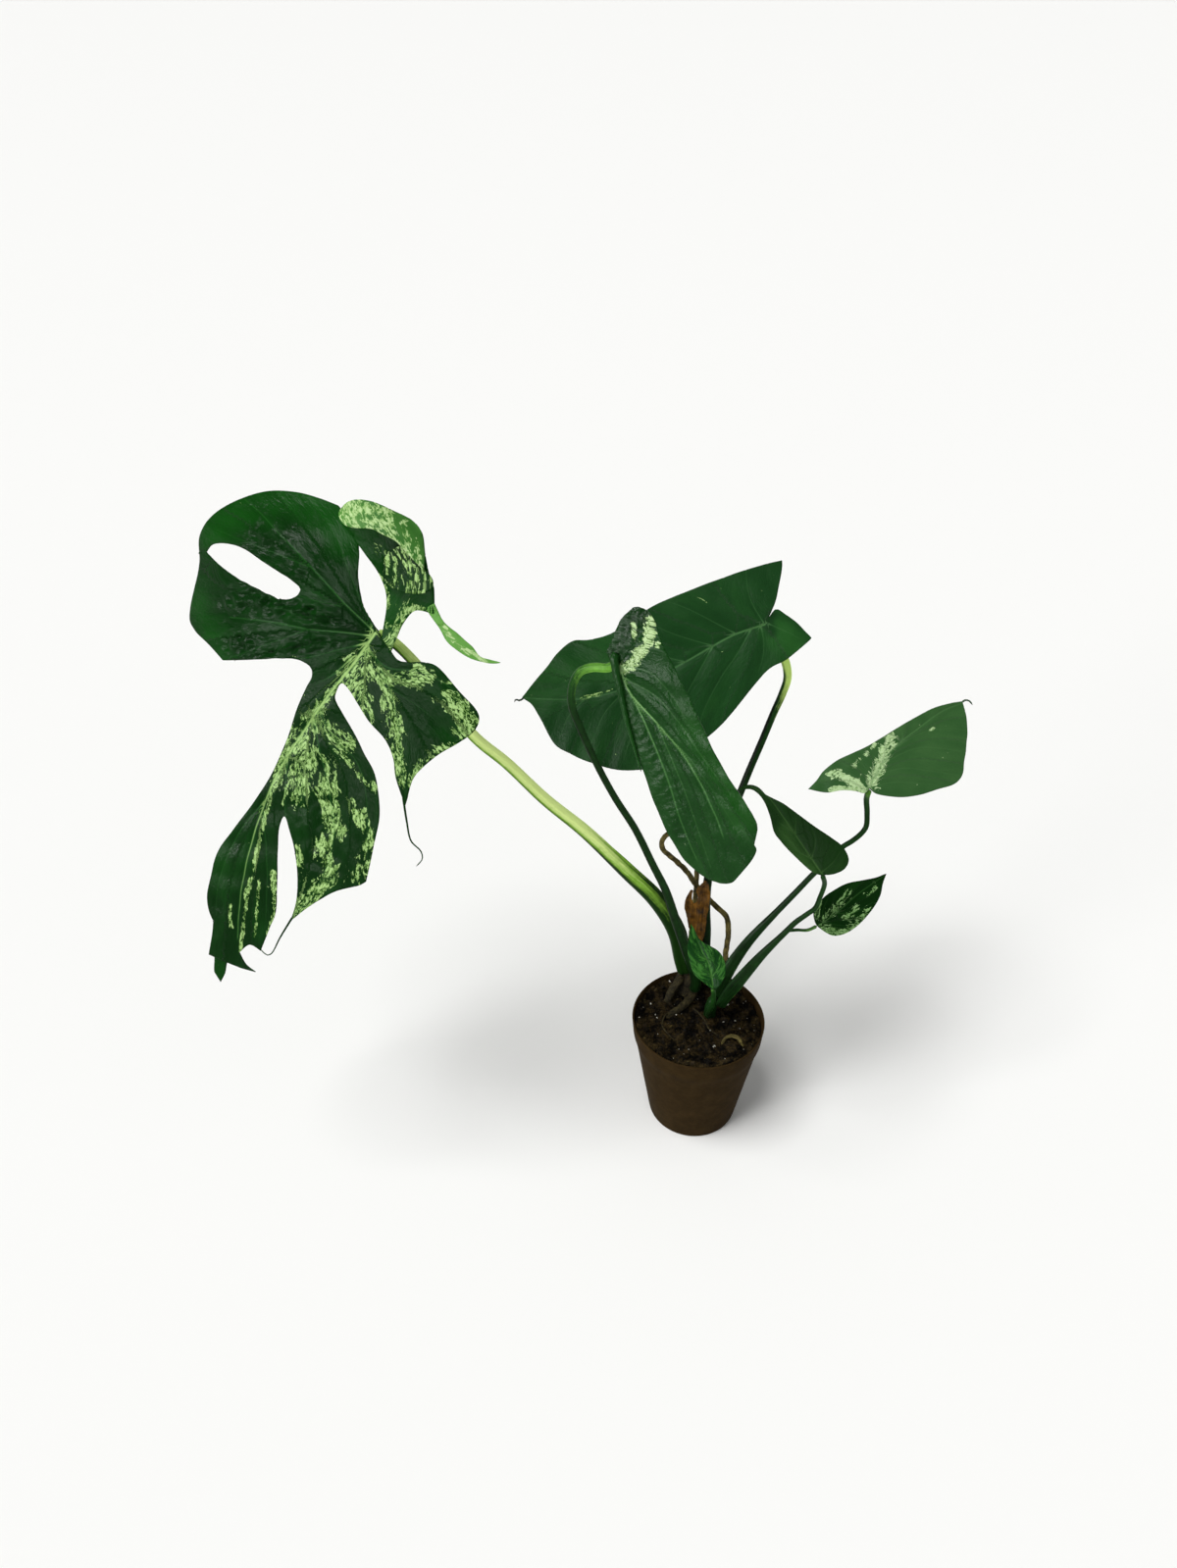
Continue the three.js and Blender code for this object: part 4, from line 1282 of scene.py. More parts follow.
@dataclass
class Pot:
    """A round tapered nursery pot: a spun wall with a rim band, foot ring and drain holes."""

    height: float = 118
    top_radius: float = 60
    base_radius: float = 41
    wall: float = 1.6
    band_height: float = 20
    band_proud: float = 2
    band_flare: float = 1
    foot_width: float = 7
    pad_radius: float = 15
    recess: float = 3
    floor: float = 2
    holes: int = 8
    hole_radius: float = 3.5
    hole_circle: float = 25
    sectors: int = 144
    sharp: float = 50

    def foot(self) -> float:
        """The height at which the rim band starts."""
        return self.height - self.band_height

    def wall_radius(self, z: float) -> float:
        """The wall's outer radius at a height below the rim band."""
        under_band = self.top_radius - self.band_proud - self.band_flare
        return self.base_radius + (under_band - self.base_radius) * (z / self.foot())

    def profile(self) -> list[Point2]:
        """The section that is spun into the pot.

        Returns:
            Radius and height of its points, from the middle of the bottom round the wall and
            the rim to the middle of the floor.
        """
        foot, top, rim = self.foot(), self.height, self.top_radius
        band = rim - self.band_flare
        floor = self.recess + self.floor
        ring = self.base_radius - self.foot_width
        low = self.wall_radius(0)
        inner = self.wall_radius(floor) - self.wall
        return [
            (0, 0), (self.pad_radius - 0.6, 0), (self.pad_radius, 0.3),
            (self.pad_radius + 1.5, self.recess), (ring - 1.5, self.recess), (ring - 0.2, 0.3),
            (ring + 0.4, 0), (low - 0.9, 0), (low - 0.25, 0.25), (low, 0.9),
            *[(self.wall_radius(z), z) for z in (3, 40, 80, foot - 7)],
            (self.wall_radius(foot - 4) + 0.2, foot - 4),
            (self.wall_radius(foot - 1) + 0.7, foot - 1),
            (band - 0.7, foot + 2), (band - 0.2, foot + 5), (band, foot + 8),
            (rim - 0.1, top - 2.2), (rim, top - 0.7), (rim - 0.25, top - 0.15), (rim - 0.8, top),
            (rim - 1.3, top - 0.1), (rim - self.wall, top - 0.6),
            (band - self.wall, foot + 2), (self.wall_radius(foot) - self.wall, foot),
            (inner, floor + 1), (inner - 1, floor), (0, floor),
        ]

    def drill(self) -> Object:
        """The round rods that cut the drain holes.

        Returns:
            All of them as one object.
        """
        shape = bmesh.new()
        for i in range(self.holes):
            turn = 2 * math.pi * i / self.holes
            place = Matrix.Translation((self.hole_circle * math.cos(turn) * MM,
                                        self.hole_circle * math.sin(turn) * MM, 4 * MM))
            bmesh.ops.create_cone(shape, cap_ends=True, segments=24, depth=20 * MM, matrix=place,
                                  radius1=self.hole_radius * MM, radius2=self.hole_radius * MM)
        return placed("drill", mesh_of(shape, "drill"))

    def build(self) -> Object:
        """Builds the pot.

        Returns:
            The finished piece.
        """
        shape = bmesh.new()
        verts = [shape.verts.new((radius, 0, z)) for radius, z in self.profile()]
        edges = [shape.edges.new(pair) for pair in zip(verts, verts[1:])]
        bmesh.ops.spin(shape, geom=[*verts, *edges], cent=(0, 0, 0), axis=(0, 0, 1),
                       angle=2 * math.pi, steps=self.sectors, use_merge=True)
        bmesh.ops.remove_doubles(shape, verts=shape.verts[:], dist=WELD)
        bmesh.ops.recalc_face_normals(shape, faces=shape.faces[:])
        bmesh.ops.scale(shape, vec=(MM,) * 3, verts=shape.verts[:])
        piece = piece_of("nursery_pot", mesh_of(shape, "nursery_pot"), [PotPlastic().material()])
        cut(piece, self.drill(), "DIFFERENCE", "EXACT")
        closed(piece.data, WELD * MM, outward=False)
        piece.data.shade_smooth()
        piece.data.set_sharp_from_angle(angle=math.radians(self.sharp))
        hand_over(piece, ("pot",))
        return piece


@dataclass(frozen=True)
class Grains:
    """Grains that are strewn over the soil.

    sizes are their smallest and largest length, flat their thickness over their width, and spots
    where the first of them lie, which are larger than the rest.
    """

    name: str
    count: int
    sizes: Point2
    flat: float
    finish: GroundFinish
    seed: int
    spots: tuple[Point2, ...] = ()
    widths: Point2 = (0.45, 0.9)
    tilt: float = 0.5
    proud: float = 0.12
    knobs: Point2 = (0.72, 1.12)
    spot_size: float = 1.2
    sharp: float = 38


@dataclass
class Soil:
    """Potting mix of peat and fine bark with perlite, heaped at the front."""

    pot: Pot
    level: float = 111
    heap: float = 3
    slack: float = 5
    lump: float = 1.3
    bank: float = 3
    clearance: float = 0.4
    rings: int = 58
    sectors: int = 260
    chips: int = 420
    perlite: int = 55
    strewn: float = 0.96
    spots: tuple[Point2, ...] = ((29, 19), (23, -2), (-2, 39), (-23, 50), (-42, 22), (12, -31))
    seed: int = 11

    def top(self, x: Array, y: Array) -> Array:
        """Height of the soil's top, as in the part's source.

        Args:
            x, y: where it is wanted.

        Returns:
            The height at each.
        """
        front = self.heap * smoothstep(-y, -10, 45)
        slack = self.slack * smoothstep(x, 30, 52)
        lumps = (np.sin(0.31 * x + 1.1 * np.sin(0.23 * y)) + np.sin(0.37 * y + 0.9)
                 + 0.8 * np.sin(0.52 * x - 0.44 * y + 2))
        bank = self.bank * smoothstep(np.hypot(x, y), 47, 57)
        return self.level + front - slack + bank + self.lump * lumps * 0.6

    def crumbs(self, x: Array, y: Array) -> Array:
        """Small lumps on the soil's top."""
        fine = ripples(x, y, 4.2, self.seed) * 0.7 + ripples(x, y, 2.2, self.seed + 1) * 0.45
        return fine + 0.9 * np.maximum(ripples(x, y, 9, self.seed + 2), 0)

    def bed(self) -> Object:
        """Builds the soil's body.

        Returns:
            The finished piece.
        """
        foot = self.pot.foot()
        floor = self.pot.recess + self.pot.floor + 0.3
        clear = self.pot.wall + self.clearance
        low = self.pot.wall_radius(floor) - clear
        edge = self.pot.top_radius - self.pot.band_flare - clear
        rows = [(0, floor), (low * 0.5, floor), (low, floor),
                (self.pot.wall_radius(foot) - clear, foot - 0.5), (edge, foot + 3),
                *[(edge * (1 - i / self.rings), math.nan) for i in range(self.rings + 1)]]
        mesh = grid_of(self.sectors, len(rows) - 1, "potting_mix")
        u, v, _ = points_of(mesh).T
        row = np.clip(np.round((v + 0.5) * (len(rows) - 1)).astype(int), 0, len(rows) - 1)
        radius, wall = np.array(rows)[row].T
        x = radius * np.cos(2 * math.pi * u)
        y = radius * np.sin(2 * math.pi * u)
        height = np.where(np.isnan(wall), self.top(x, y) + self.crumbs(x, y), wall)
        set_points(mesh, np.stack([x, y, height], axis=1))
        closed(mesh)
        mesh.transform(Matrix.Scale(MM, 4))
        peat = GroundFinish("peat_and_bark_mix", "#020100", "#46391f", 1.6)
        piece = piece_of("potting_mix", mesh, [peat.material()])
        hand_over(piece, ("soil",))
        return piece

    def scatter(self, grains: Grains) -> Object:
        """Strews grains over the soil's top.

        Args:
            grains: the grains.

        Returns:
            The finished piece.
        """
        draw = np.random.default_rng(grains.seed)
        shape = bmesh.new()
        edge = self.pot.top_radius - self.pot.wall - 2
        for index in range(grains.count):
            radius = edge * self.strewn * math.sqrt(draw.uniform(0, 1))
            turn = draw.uniform(0, 2 * math.pi)
            x, y = radius * math.cos(turn), radius * math.sin(turn)
            small, large = grains.sizes
            long = small + (large - small) * draw.uniform(0, 1) ** 2
            if index < len(grains.spots):
                x, y = grains.spots[index]
                long = grains.spot_size * large
            wide = long * draw.uniform(*grains.widths)
            thick = wide * grains.flat
            here = np.array([x]), np.array([y])
            ground = float(self.top(*here)[0] + self.crumbs(*here)[0])
            tilt = Matrix.Rotation(draw.uniform(-grains.tilt, grains.tilt), 4, "X")
            tilt = tilt @ Matrix.Rotation(draw.uniform(-grains.tilt, grains.tilt), 4, "Y")
            heading = Matrix.Rotation(draw.uniform(0, 2 * math.pi), 4, "Z")
            place = Matrix.Translation((x, y, ground + thick * grains.proud)) @ tilt @ heading
            form = Matrix.Diagonal((long / 2, wide / 2, thick / 2, 1))
            made = bmesh.ops.create_icosphere(shape, subdivisions=1, radius=1, matrix=Matrix())
            for vert in made["verts"]:
                vert.co = place @ form @ (vert.co * draw.uniform(*grains.knobs))
        mesh = mesh_of(shape, grains.name)
        mesh.transform(Matrix.Scale(MM, 4))
        piece = piece_of(grains.name, mesh, [grains.finish.material()])
        piece.data.set_sharp_from_angle(angle=math.radians(grains.sharp))
        hand_over(piece, ())
        return piece

    def build(self) -> None:
        """Builds the soil's body and what is mixed into it."""
        self.bed()
        bark = GroundFinish("composted_bark_chips", "#0b0804", "#3b3120", 2.2, roughness=0.8)
        fresh = GroundFinish("fresh_bark_chips", "#1c170a", "#5c4f2e", 2.6, roughness=0.8)
        grit = GroundFinish("expanded_perlite", "#a8a69a", "#e4e1d6", 1.2, bump=0.5)
        self.scatter(Grains("bark_chips", self.chips, (2, 7), 0.5, bark, self.seed + 5))
        self.scatter(Grains("fresh_bark_chips", self.chips // 6, (2, 6), 0.4, fresh,
                            self.seed + 7))
        self.scatter(Grains("perlite_grains", self.perlite, (0.9, 2.6), 0.8, grit, self.seed + 9,
                            self.spots))


@dataclass
class DrySheath:
    """The papery husk of an old leaf, wrapped round the foot of the heart leaf's petiole.

    fold and crimp are the height of its waves along and across it, each with its pace, and
    crinkle is the height of its random creases.
    """

    seat: Point3 = (3, 34, 172)
    turn: float = -14
    lean: float = 4
    curl: float = 0.02
    fold: Point2 = (0.6, 0.4)
    crimp: Point2 = (0.5, 0.9)
    crinkle: float = 0.4
    step: float = 1.0
    thickness: float = 0.8
    edge: tuple[Run, ...] = (
        ((-6, -20), (-7, 6), (-14, 19), (-18, 32), (-19.5, 41), (-18, 50), (-15, 58)),
        ((-13, 59), (-13.5, 54), (-12.5, 48), (-10.5, 46), (-8.5, 49), (-8, 55), (-10, 60)),
        ((-8, 66), (-3, 74)),
        ((1, 70), (3, 56), (2, 36), (1, 16), (-1, 0), (-2, -20), (-2, -36)),
        ((-6, -36),),
    )

    def build(self) -> Object:
        """Builds the sheath.

        Returns:
            The finished piece.
        """
        mesh = flat_sheet(self.edge, (), self.step)
        x, y, _ = points_of(mesh).T
        height = (-self.curl * x**2 + self.fold[0] * np.sin(self.fold[1] * y)
                  + self.crimp[0] * np.sin(self.crimp[1] * x)
                  + self.crinkle * ripples(x * 2.2, y * 0.5, 5, 5))
        set_grain(mesh, y, x)
        set_points(mesh, np.stack([x, y, height], axis=1))
        mesh.transform(chart_matrix(self.seat, self.turn, self.lean))
        piece = piece_of("dried_leaf_sheath", mesh, [HUSK.material()])
        wall = piece.modifiers.new("thickness", "SOLIDIFY")
        wall.thickness = self.thickness * MM
        wall.offset = 0
        baked(piece)
        hand_over(piece, ("dry_sheath",))
        return piece


@dataclass(frozen=True)
class Lamp:
    """A distant soft light that lights the whole floor evenly.

    place is where it shines from, spread how wide it is in degrees, and gloss_only whether it
    only shows as a reflection.
    """

    name: str
    place: Point3
    spread: float
    strength: float
    gloss_only: bool = False

    def build(self) -> None:
        """Puts the lamp into the scene."""
        light = bpy.data.lights.new(self.name, "SUN")
        light.angle = math.radians(self.spread)
        light.energy = self.strength
        lamp = placed(self.name, light)
        lamp.location = self.place
        lamp.rotation_euler = (-Vector(self.place)).to_track_quat("-Z", "Y").to_euler()
        lamp.visible_diffuse = not self.gloss_only


@dataclass
class Studio:
    """A pale floor, soft light and the camera, at the angle that the plant is seen from."""

    floor: str = "#f2f2f0"
    floor_radius: float = 200
    backdrop: str = "#ffffff"
    backdrop_strength: float = 0.25
    camera_place: Point3 = (-0.0999, -0.7124, 0.8864)
    camera_tilt: float = 54.5
    focal_pixels: float = 1150
    frame_pixels: float = 1599
    sensor: float = 36
    lamps: tuple[Lamp, ...] = (
        Lamp("key_light", (-0.8, -0.5, 2.2), 30, 2.5),
        Lamp("side_light", (-1.62, -1.06, 0.5), 16, 0.9),
        Lamp("window_sheen", (-1.83, -0.81, 0.3), 14, 3.0, gloss_only=True),
        Lamp("low_sheen", (-1.05, -1.65, 0.32), 34, 4.0, gloss_only=True),
        Lamp("fill_light", (1.6, -1.2, 1.6), 60, 0.2),
    )

    def build(self) -> None:
        """Builds the floor, the lights and the camera."""
        shape = bmesh.new()
        bmesh.ops.create_circle(shape, cap_ends=True, segments=96, radius=self.floor_radius)
        paper = started("matt_paper")
        surfaced(paper.node_tree, {
            "Base Color": linear(self.floor), "Roughness": 0.9, "Specular IOR Level": 0.1})
        piece_of("floor", mesh_of(shape, "floor"), [paper])
        world = bpy.data.worlds.new("studio")
        world.use_nodes = True
        light = world.node_tree.nodes["Background"]
        light.inputs["Color"].default_value = linear(self.backdrop)
        light.inputs["Strength"].default_value = self.backdrop_strength
        bpy.context.scene.world = world
        bpy.context.scene.view_settings.view_transform = "Standard"
        for lamp in self.lamps:
            lamp.build()
        lens = bpy.data.cameras.new("view")
        lens.sensor_width = self.sensor
        lens.lens = self.focal_pixels / self.frame_pixels * self.sensor
        camera = placed("view", lens)
        camera.location = self.camera_place
        camera.rotation_euler = (math.radians(self.camera_tilt), 0, 0)
        bpy.context.scene.camera = camera


FOLDS = Folds()

LEAF_GREEN = LeafFinish("waxy_leaf_upper", "#061c07", "#0a2c0a", "#104c0d", "#2f6a2a")
LEAF_UNDER = LeafFinish("matt_leaf_under", "#1f4a1c", "#2f6424", "#5c963c", "#5f8a52",
                        veiled="#4f8436", pale="#8cb266", cream="#b2cf90", roughness=0.5,
                        solid=0.12, specular=0.12)

SPLIT_LEAF = Blade(
    name="split_leaf",
    seat=(-247, -20, 520),
    pucker=1.8,
    turn=-9,
    lean=21,
    tip=(-118, -260),
    sag=-27,
    crease=0.1,
    roll=(0.0014, 0.0024),
    arch=0.00035,
    back=0.001,
    ripple=0.5,
    vein_pitch=34,
    step=1.6,
    slot="variegated_leaf",
    sheets=(
        Sheet(
            edge=(
                ((-8, 18), (-12, 36), (-12, 55), (-17, 72), (-29, 84)),
                ((-44, 88), (-63, 91), (-87, 90), (-114, 82), (-137, 70), (-150, 55), (-150, 37),
                 (-156, 16), (-162, -5), (-155, -14), (-139, -22), (-124, -32)),
                ((-98, -28), (-74, -24), (-57, -23), (-47, -27), (-46, -34), (-51, -43),
                 (-58, -59), (-70, -90), (-87, -121), (-113, -156), (-129, -178), (-139, -209),
                 (-141, -224), (-137, -237)),
                ((-141, -255), (-145, -269)),
                ((-130, -274), (-119, -277), (-105, -278)),
                ((-113, -273), (-118, -263)),
                ((-108, -254), (-99, -258)),
                ((-90, -237), (-83, -220), (-79, -187), (-76, -155), (-71, -141), (-67, -151),
                 (-63, -177), (-65, -208), (-72, -228)),
                ((-58, -215), (-44, -204), (-32, -196), (-14, -189), (-8, -185)),
                ((-2, -158), (3, -136), (3, -118), (0, -100), (-8, -86), (-15, -72), (-24, -57),
                 (-29, -46), (-25, -37), (-18, -41), (-5, -61), (8, -74), (14, -87), (16, -102),
                 (23, -122)),
                ((28, -103), (36, -92), (48, -81), (60, -73), (71, -64), (75, -55), (72, -47),
                 (61, -36), (46, -20), (35, -17), (25, -18), (17, -17), (11, -10), (2, 1)),
            ),
            holes=(
                ((-142, 44), (-135, 50), (-120, 52), (-104, 50), (-85, 42), (-68, 35), (-56, 28),
                 (-56, 23), (-62, 19), (-73, 18), (-88, 22), (-107, 28), (-128, 36)),
            ),
            pale=(
                Stroke(((-5, -14), (-25, -38), (-46, -62), (-63, -87), (-78, -114)), 11, 0.72),
                Stroke(((-15, -25), (5, -29), (30, -31)), 14, 0.76),
                Stroke(((-19, -29), (-11, -40), (-5, -57)), 15, 0.72),
                Stroke(((10, -42), (14, -61), (17, -86), (19, -104)), 12, 0.77),
                Stroke(((52, -38), (62, -50), (68, -58), (62, -68)), 15, 0.72),
                Stroke(((30, -20), (40, -27)), 10, 0.57),
                Stroke(((55, -75), (38, -87), (28, -105)), 10, 0.68),
                Stroke(((-49, -67), (-31, -70), (-20, -82)), 16, 0.72),
                Stroke(((-60, -79), (-52, -98), (-59, -120)), 22, 0.84),
                Stroke(((-39, -97), (-35, -123), (-32, -149)), 18, 0.72),
                Stroke(((-39, -161), (-37, -183), (-52, -202), (-67, -218)), 17, 0.72),
                Stroke(((-17, -126), (-8, -141), (-7, -165), (-14, -185)), 14, 0.54),
                Stroke(((-2, -110), (-14, -100), (-24, -86)), 9, 0.52),
                Stroke(((-62, -165), (-58, -195), (-56, -208)), 7, 0.6),
                Stroke(((-78, -116), (-90, -156), (-98, -186), (-106, -212)), 3.4, 1),
                Stroke(((-82, -188), (-84, -222), (-90, -242)), 5, 0.8),
                Stroke(((-121, -221), (-122, -240)), 2.5, 0.8),
                Stroke(((-106, -212), (-112, -240), (-117, -262)), 2.6, 0.95),
                Stroke(((-94, -196), (-99, -225), (-103, -246)), 2.6, 0.9),
            ),
        ),
        Sheet(
            edge=(
                ((4, -6), (6, 4), (9, 18), (9, 30), (4, 43), (-4, 54), (-13, 65), (-21, 74),
                 (-21, 81), (-9, 88), (3, 87), (17, 82), (28, 77), (35, 69), (37, 56), (40, 42),
                 (43, 34), (43, 16)),
                ((35, 18), (28, 17), (20, 7), (15, -4), (10, -14), (0, -12)),
            ),
            lift=Lift.CURL,
            pale=(
                Stroke(((20, 16), (12, 1), (5, -9)), 18, 0.62),
                Stroke(((2, 44), (7, 32), (10, 20), (8, 6)), 6, 0.75),
                Stroke(((4, 60), (8, 55)), 6, 0.5),
                Stroke(((36, 20), (28, 19), (20, 16)), 5, 0.7),
            ),
            # The tint is raised where the cap shades this sheet: painted light.
            tint=0.5,
        ),
        Sheet(
            edge=(
                ((38, 57), (35, 70), (28, 78), (17, 83), (3, 88), (-9, 89), (-17, 86), (-20, 80),
                 (-15, 73), (-8, 71), (4, 71), (11, 68), (20, 64), (27, 57), (38, 46)),
            ),
            lift=Lift.CAP,
            face=Face.UNDER,
            pale=(
                Stroke(((-14, 80), (-2, 79), (9, 77)), 20, 0.9),
                Stroke(((16, 82), (15, 72), (20, 63)), 6, 0.75),
                Stroke(((24, 76), (27, 64), (28, 57)), 5, 0.75),
                Stroke(((32, 66), (34, 54)), 4, 0.75),
                Stroke(((-15, 73), (-8, 71), (4, 71), (11, 68), (20, 64), (27, 57), (38, 46)),
                       3.5, 1.3),
            ),
            tint=0.42,
        ),
        Sheet(
            edge=(
                ((42, 43), (44, 36), (38, 31), (26, 30), (17, 32), (9, 38), (10, 52), (23, 61),
                 (32, 51)),
            ),
            lift=Lift.FLAP,
            tint=0.35,
            marbling=0.5,
        ),
        Sheet(
            edge=(
                ((38, 19), (47, 7), (52, -1), (59, -6.5), (67, -11), (73, -13), (82, -14.5),
                 (89, -13.5), (82, -12), (75, -10), (70, -4), (65, 0), (59, 5), (53, 9), (48, 14),
                 (43, 24)),
            ),
            lift=Lift.TAIL,
            face=Face.UNDER,
            pale=(Stroke(((50, 8), (60, -3), (70, -9), (80, -13)), 4, 0.8),),
            tint=1.0,
        ),
        Sheet(
            edge=(
                ((-145, -285), (-144, -290), (-141, -297)),
                ((-136, -288), (-134, -281), (-128, -258), (-130, -246), (-137, -250),
                 (-142, -266)),
            ),
            lift=Lift.TONGUE,
            tint=0.45,
        ),
    ),
    veins=(
        Vein(((0, 0), (-15, -22), (-35, -48), (-57, -80), (-78, -114), (-97, -160), (-110, -205),
              (-118, -250)), (3.4, 1.0), 1.1, 1.0),
        Vein(((-2, 2), (-25, 22), (-46, 41), (-69, 59), (-91, 75), (-107, 84)), (2.0, 0.8), 1.3),
        Vein(((-3, -2), (-25, -1), (-48, -1), (-73, 1), (-97, 1), (-117, 0)), (2.0, 0.8), 1.3),
        Vein(((-2, 5), (-13, 28), (-23, 50), (-34, 70), (-49, 85)), (1.4, 0.6), 0.5, 0.25),
        Vein(((-46, 41), (-68, 47), (-98, 54), (-132, 61)), (1.2, 0.6), 0.4, 0.25),
        Vein(((-25, 17), (-48, 20), (-56, 22)), (1.2, 0.6), 0.4, 0.25),
        Vein(((-48, -1), (-73, -11), (-97, -21), (-114, -28)), (1.2, 0.6), 0.4, 0.25),
        Vein(((-5, -7), (-25, -13), (-46, -20), (-62, -23)), (1.4, 0.6), 0.5, 0.3),
        Vein(((-15, -17), (-30, -31), (-43, -39)), (1.4, 0.6), 0.5, 0.3),
        Vein(((-6, -8), (7, -30), (16, -56), (20, -83), (23, -117)), (1.8, 0.7), 0.8, 0.4),
        Vein(((-5, -12), (10, -23), (35, -24), (58, -36), (71, -54)), (1.4, 0.6), 0.5, 0.4),
        Vein(((10, -36), (35, -50), (52, -64)), (1.2, 0.6), 0.4, 0.2),
        Vein(((-46, -62), (-41, -87), (-35, -117), (-33, -155), (-46, -192), (-72, -226)),
             (1.8, 0.7), 0.8, 0.4),
        Vein(((-40, -58), (-31, -76), (-13, -94), (-6, -124), (-7, -173)), (1.4, 0.6), 0.5, 0.3),
        Vein(((-66, -94), (-70, -134), (-65, -172), (-68, -212)), (1.4, 0.6), 0.5, 0.3),
        Vein(((-84, -128), (-109, -159), (-127, -195), (-134, -225)), (1.6, 0.7), 0.7, 0.3),
        Vein(((-88, -140), (-87, -183), (-92, -228)), (1.4, 0.6), 0.6, 0.3),
        Vein(((3, 2), (12, 18), (18, 36), (12, 58), (0, 75)), (1.4, 0.6), 0.3, 0.2),
    ),
    upper=LEAF_GREEN,
    puckers=(
        Stroke(((-117, 9), (-88, 17), (-62, 14), (-35, 12)), 20, 1.0),
        Stroke(((-117, -16), (-88, -17), (-56, -14), (-25, -11)), 16, 1.0),
        Stroke(((-89, 64), (-68, 51), (-51, 36)), 22, 0.6),
        Stroke(((-50, -130), (-40, -170)), 30, 0.4),
    ),
    # Painted light on the top and left margins, which light shines through, and on the terminal
    # lobe's up-turned left margin.
    bright=(
        Stroke(((-132, 61), (-113, 74), (-71, 86), (-43, 81), (-21, 64)), 30, 0.75),
        Stroke(((-151, 2), (-139, -14), (-127, -27)), 24, 0.5),
        Stroke(((-112, -165), (-130, -205)), 24, 0.3),
    ),
    darkened=(Stroke(((-25, 15), (-15, 6), (-5, 2)), 16, 0.7),),
    pucker_size=7.5,
    threads=(
        (((-69, -223), (-81, -243), (-90, -259), (-94, -261), (-101, -255)), (0.9, 0.35)),
        (((21, -114), (24, -134), (27, -149), (34, -156), (35, -162), (30, -169)), (0.9, 0.35)),
    ),
)

HEART_LEAF = Blade(
    name="heart_leaf",
    seat=(40, 80, 474),
    turn=8,
    lean=36,
    tip=(-196, -43),
    crease=0.16,
    roll=(0.003, 0.002),
    arch=0.0005,
    back=0.002,
    ripple=0.8,
    vein_pitch=28,
    step=1.6,
    slot="green_leaf",
    sheets=(
        Sheet(
            edge=(
                ((-184, -29), (-174, -19), (-165, -9), (-153, -1), (-139, -1), (-119, 4),
                 (-91, 20), (-72, 27), (-43, 36), (-10, 45), (16, 50)),
                ((15, 43), (9, 21), (2, 6)),
                ((8, 12), (15, 8), (24, 1), (35, -12)),
                ((32, -15), (13, -28), (-1, -34), (-14, -46), (-41, -74), (-61, -89), (-78, -99),
                 (-92, -104), (-122, -104), (-146, -96), (-161, -88), (-173, -79), (-183, -57),
                 (-188, -47), (-195, -41)),
            ),
            pale=(Stroke(((-150, -46), (-136, -43), (-126, -40)), 3, 0.75),),
        ),
    ),
    veins=(
        Vein(((-1, 1), (-25, -5), (-44, -13), (-67, -24), (-89, -33), (-120, -42), (-148, -46),
              (-175, -44), (-194, -41)), (2.6, 0.9), 0.9, 0.62),
        Vein(((-3, 3), (-11, 18), (-14, 31), (-14, 44)), (1.4, 0.6), 0.5, 0.27),
        Vein(((-25, -5), (-37, 2), (-61, 16), (-76, 23)), (1.4, 0.6), 0.5, 0.27),
        Vein(((-44, -13), (-74, -2), (-95, 9)), (1.3, 0.6), 0.5, 0.27),
        Vein(((-67, -24), (-95, -14), (-118, -4)), (1.3, 0.6), 0.5, 0.27),
        Vein(((-100, -36), (-130, -24), (-154, -12)), (1.2, 0.6), 0.5, 0.27),
        Vein(((-12, -1), (-26, -21), (-40, -38), (-54, -60), (-62, -80)), (1.4, 0.6), 0.5, 0.27),
        Vein(((-5, 0), (-4, -10), (-5, -22), (-10, -36)), (1.4, 0.6), 0.5, 0.27),
        Vein(((0, 2), (13, -5), (25, -12)), (1.4, 0.6), 0.5, 0.27),
        Vein(((-44, -13), (-62, -40), (-80, -68), (-90, -92)), (1.3, 0.6), 0.5, 0.27),
        Vein(((-78, -28), (-98, -52), (-114, -80), (-120, -96)), (1.3, 0.6), 0.5, 0.27),
        Vein(((-112, -40), (-132, -58), (-145, -82)), (1.2, 0.6), 0.5, 0.27),
        Vein(((-146, -46), (-160, -58), (-168, -74)), (1.2, 0.6), 0.5, 0.27),
    ),
    upper=LeafFinish("satin_leaf_upper", "#0d2a10", "#153d17", "#245820", "#4c7a48",
                     midrib="#5f9050", roughness=0.42, specular=0.1),
    bright=(
        Stroke(((-175, -30), (-150, -20), (-120, -15)), 40, 0.6),
        Stroke(((8, -4), (18, -14), (22, -22)), 24, 0.9),
    ),
    # Painted shadow in the crease at the seat, where the lobes meet.
    darkened=(Stroke(((3, 8), (1, 2), (3, -5)), 8, 1.3),),
    quilt=0.4,
    seed=21,
    threads=((((-193, -41), (-197, -43), (-200, -42), (-201, -44)), (0.8, 0.6)),),
    thread_tint=(-0.2, -0.2),
)

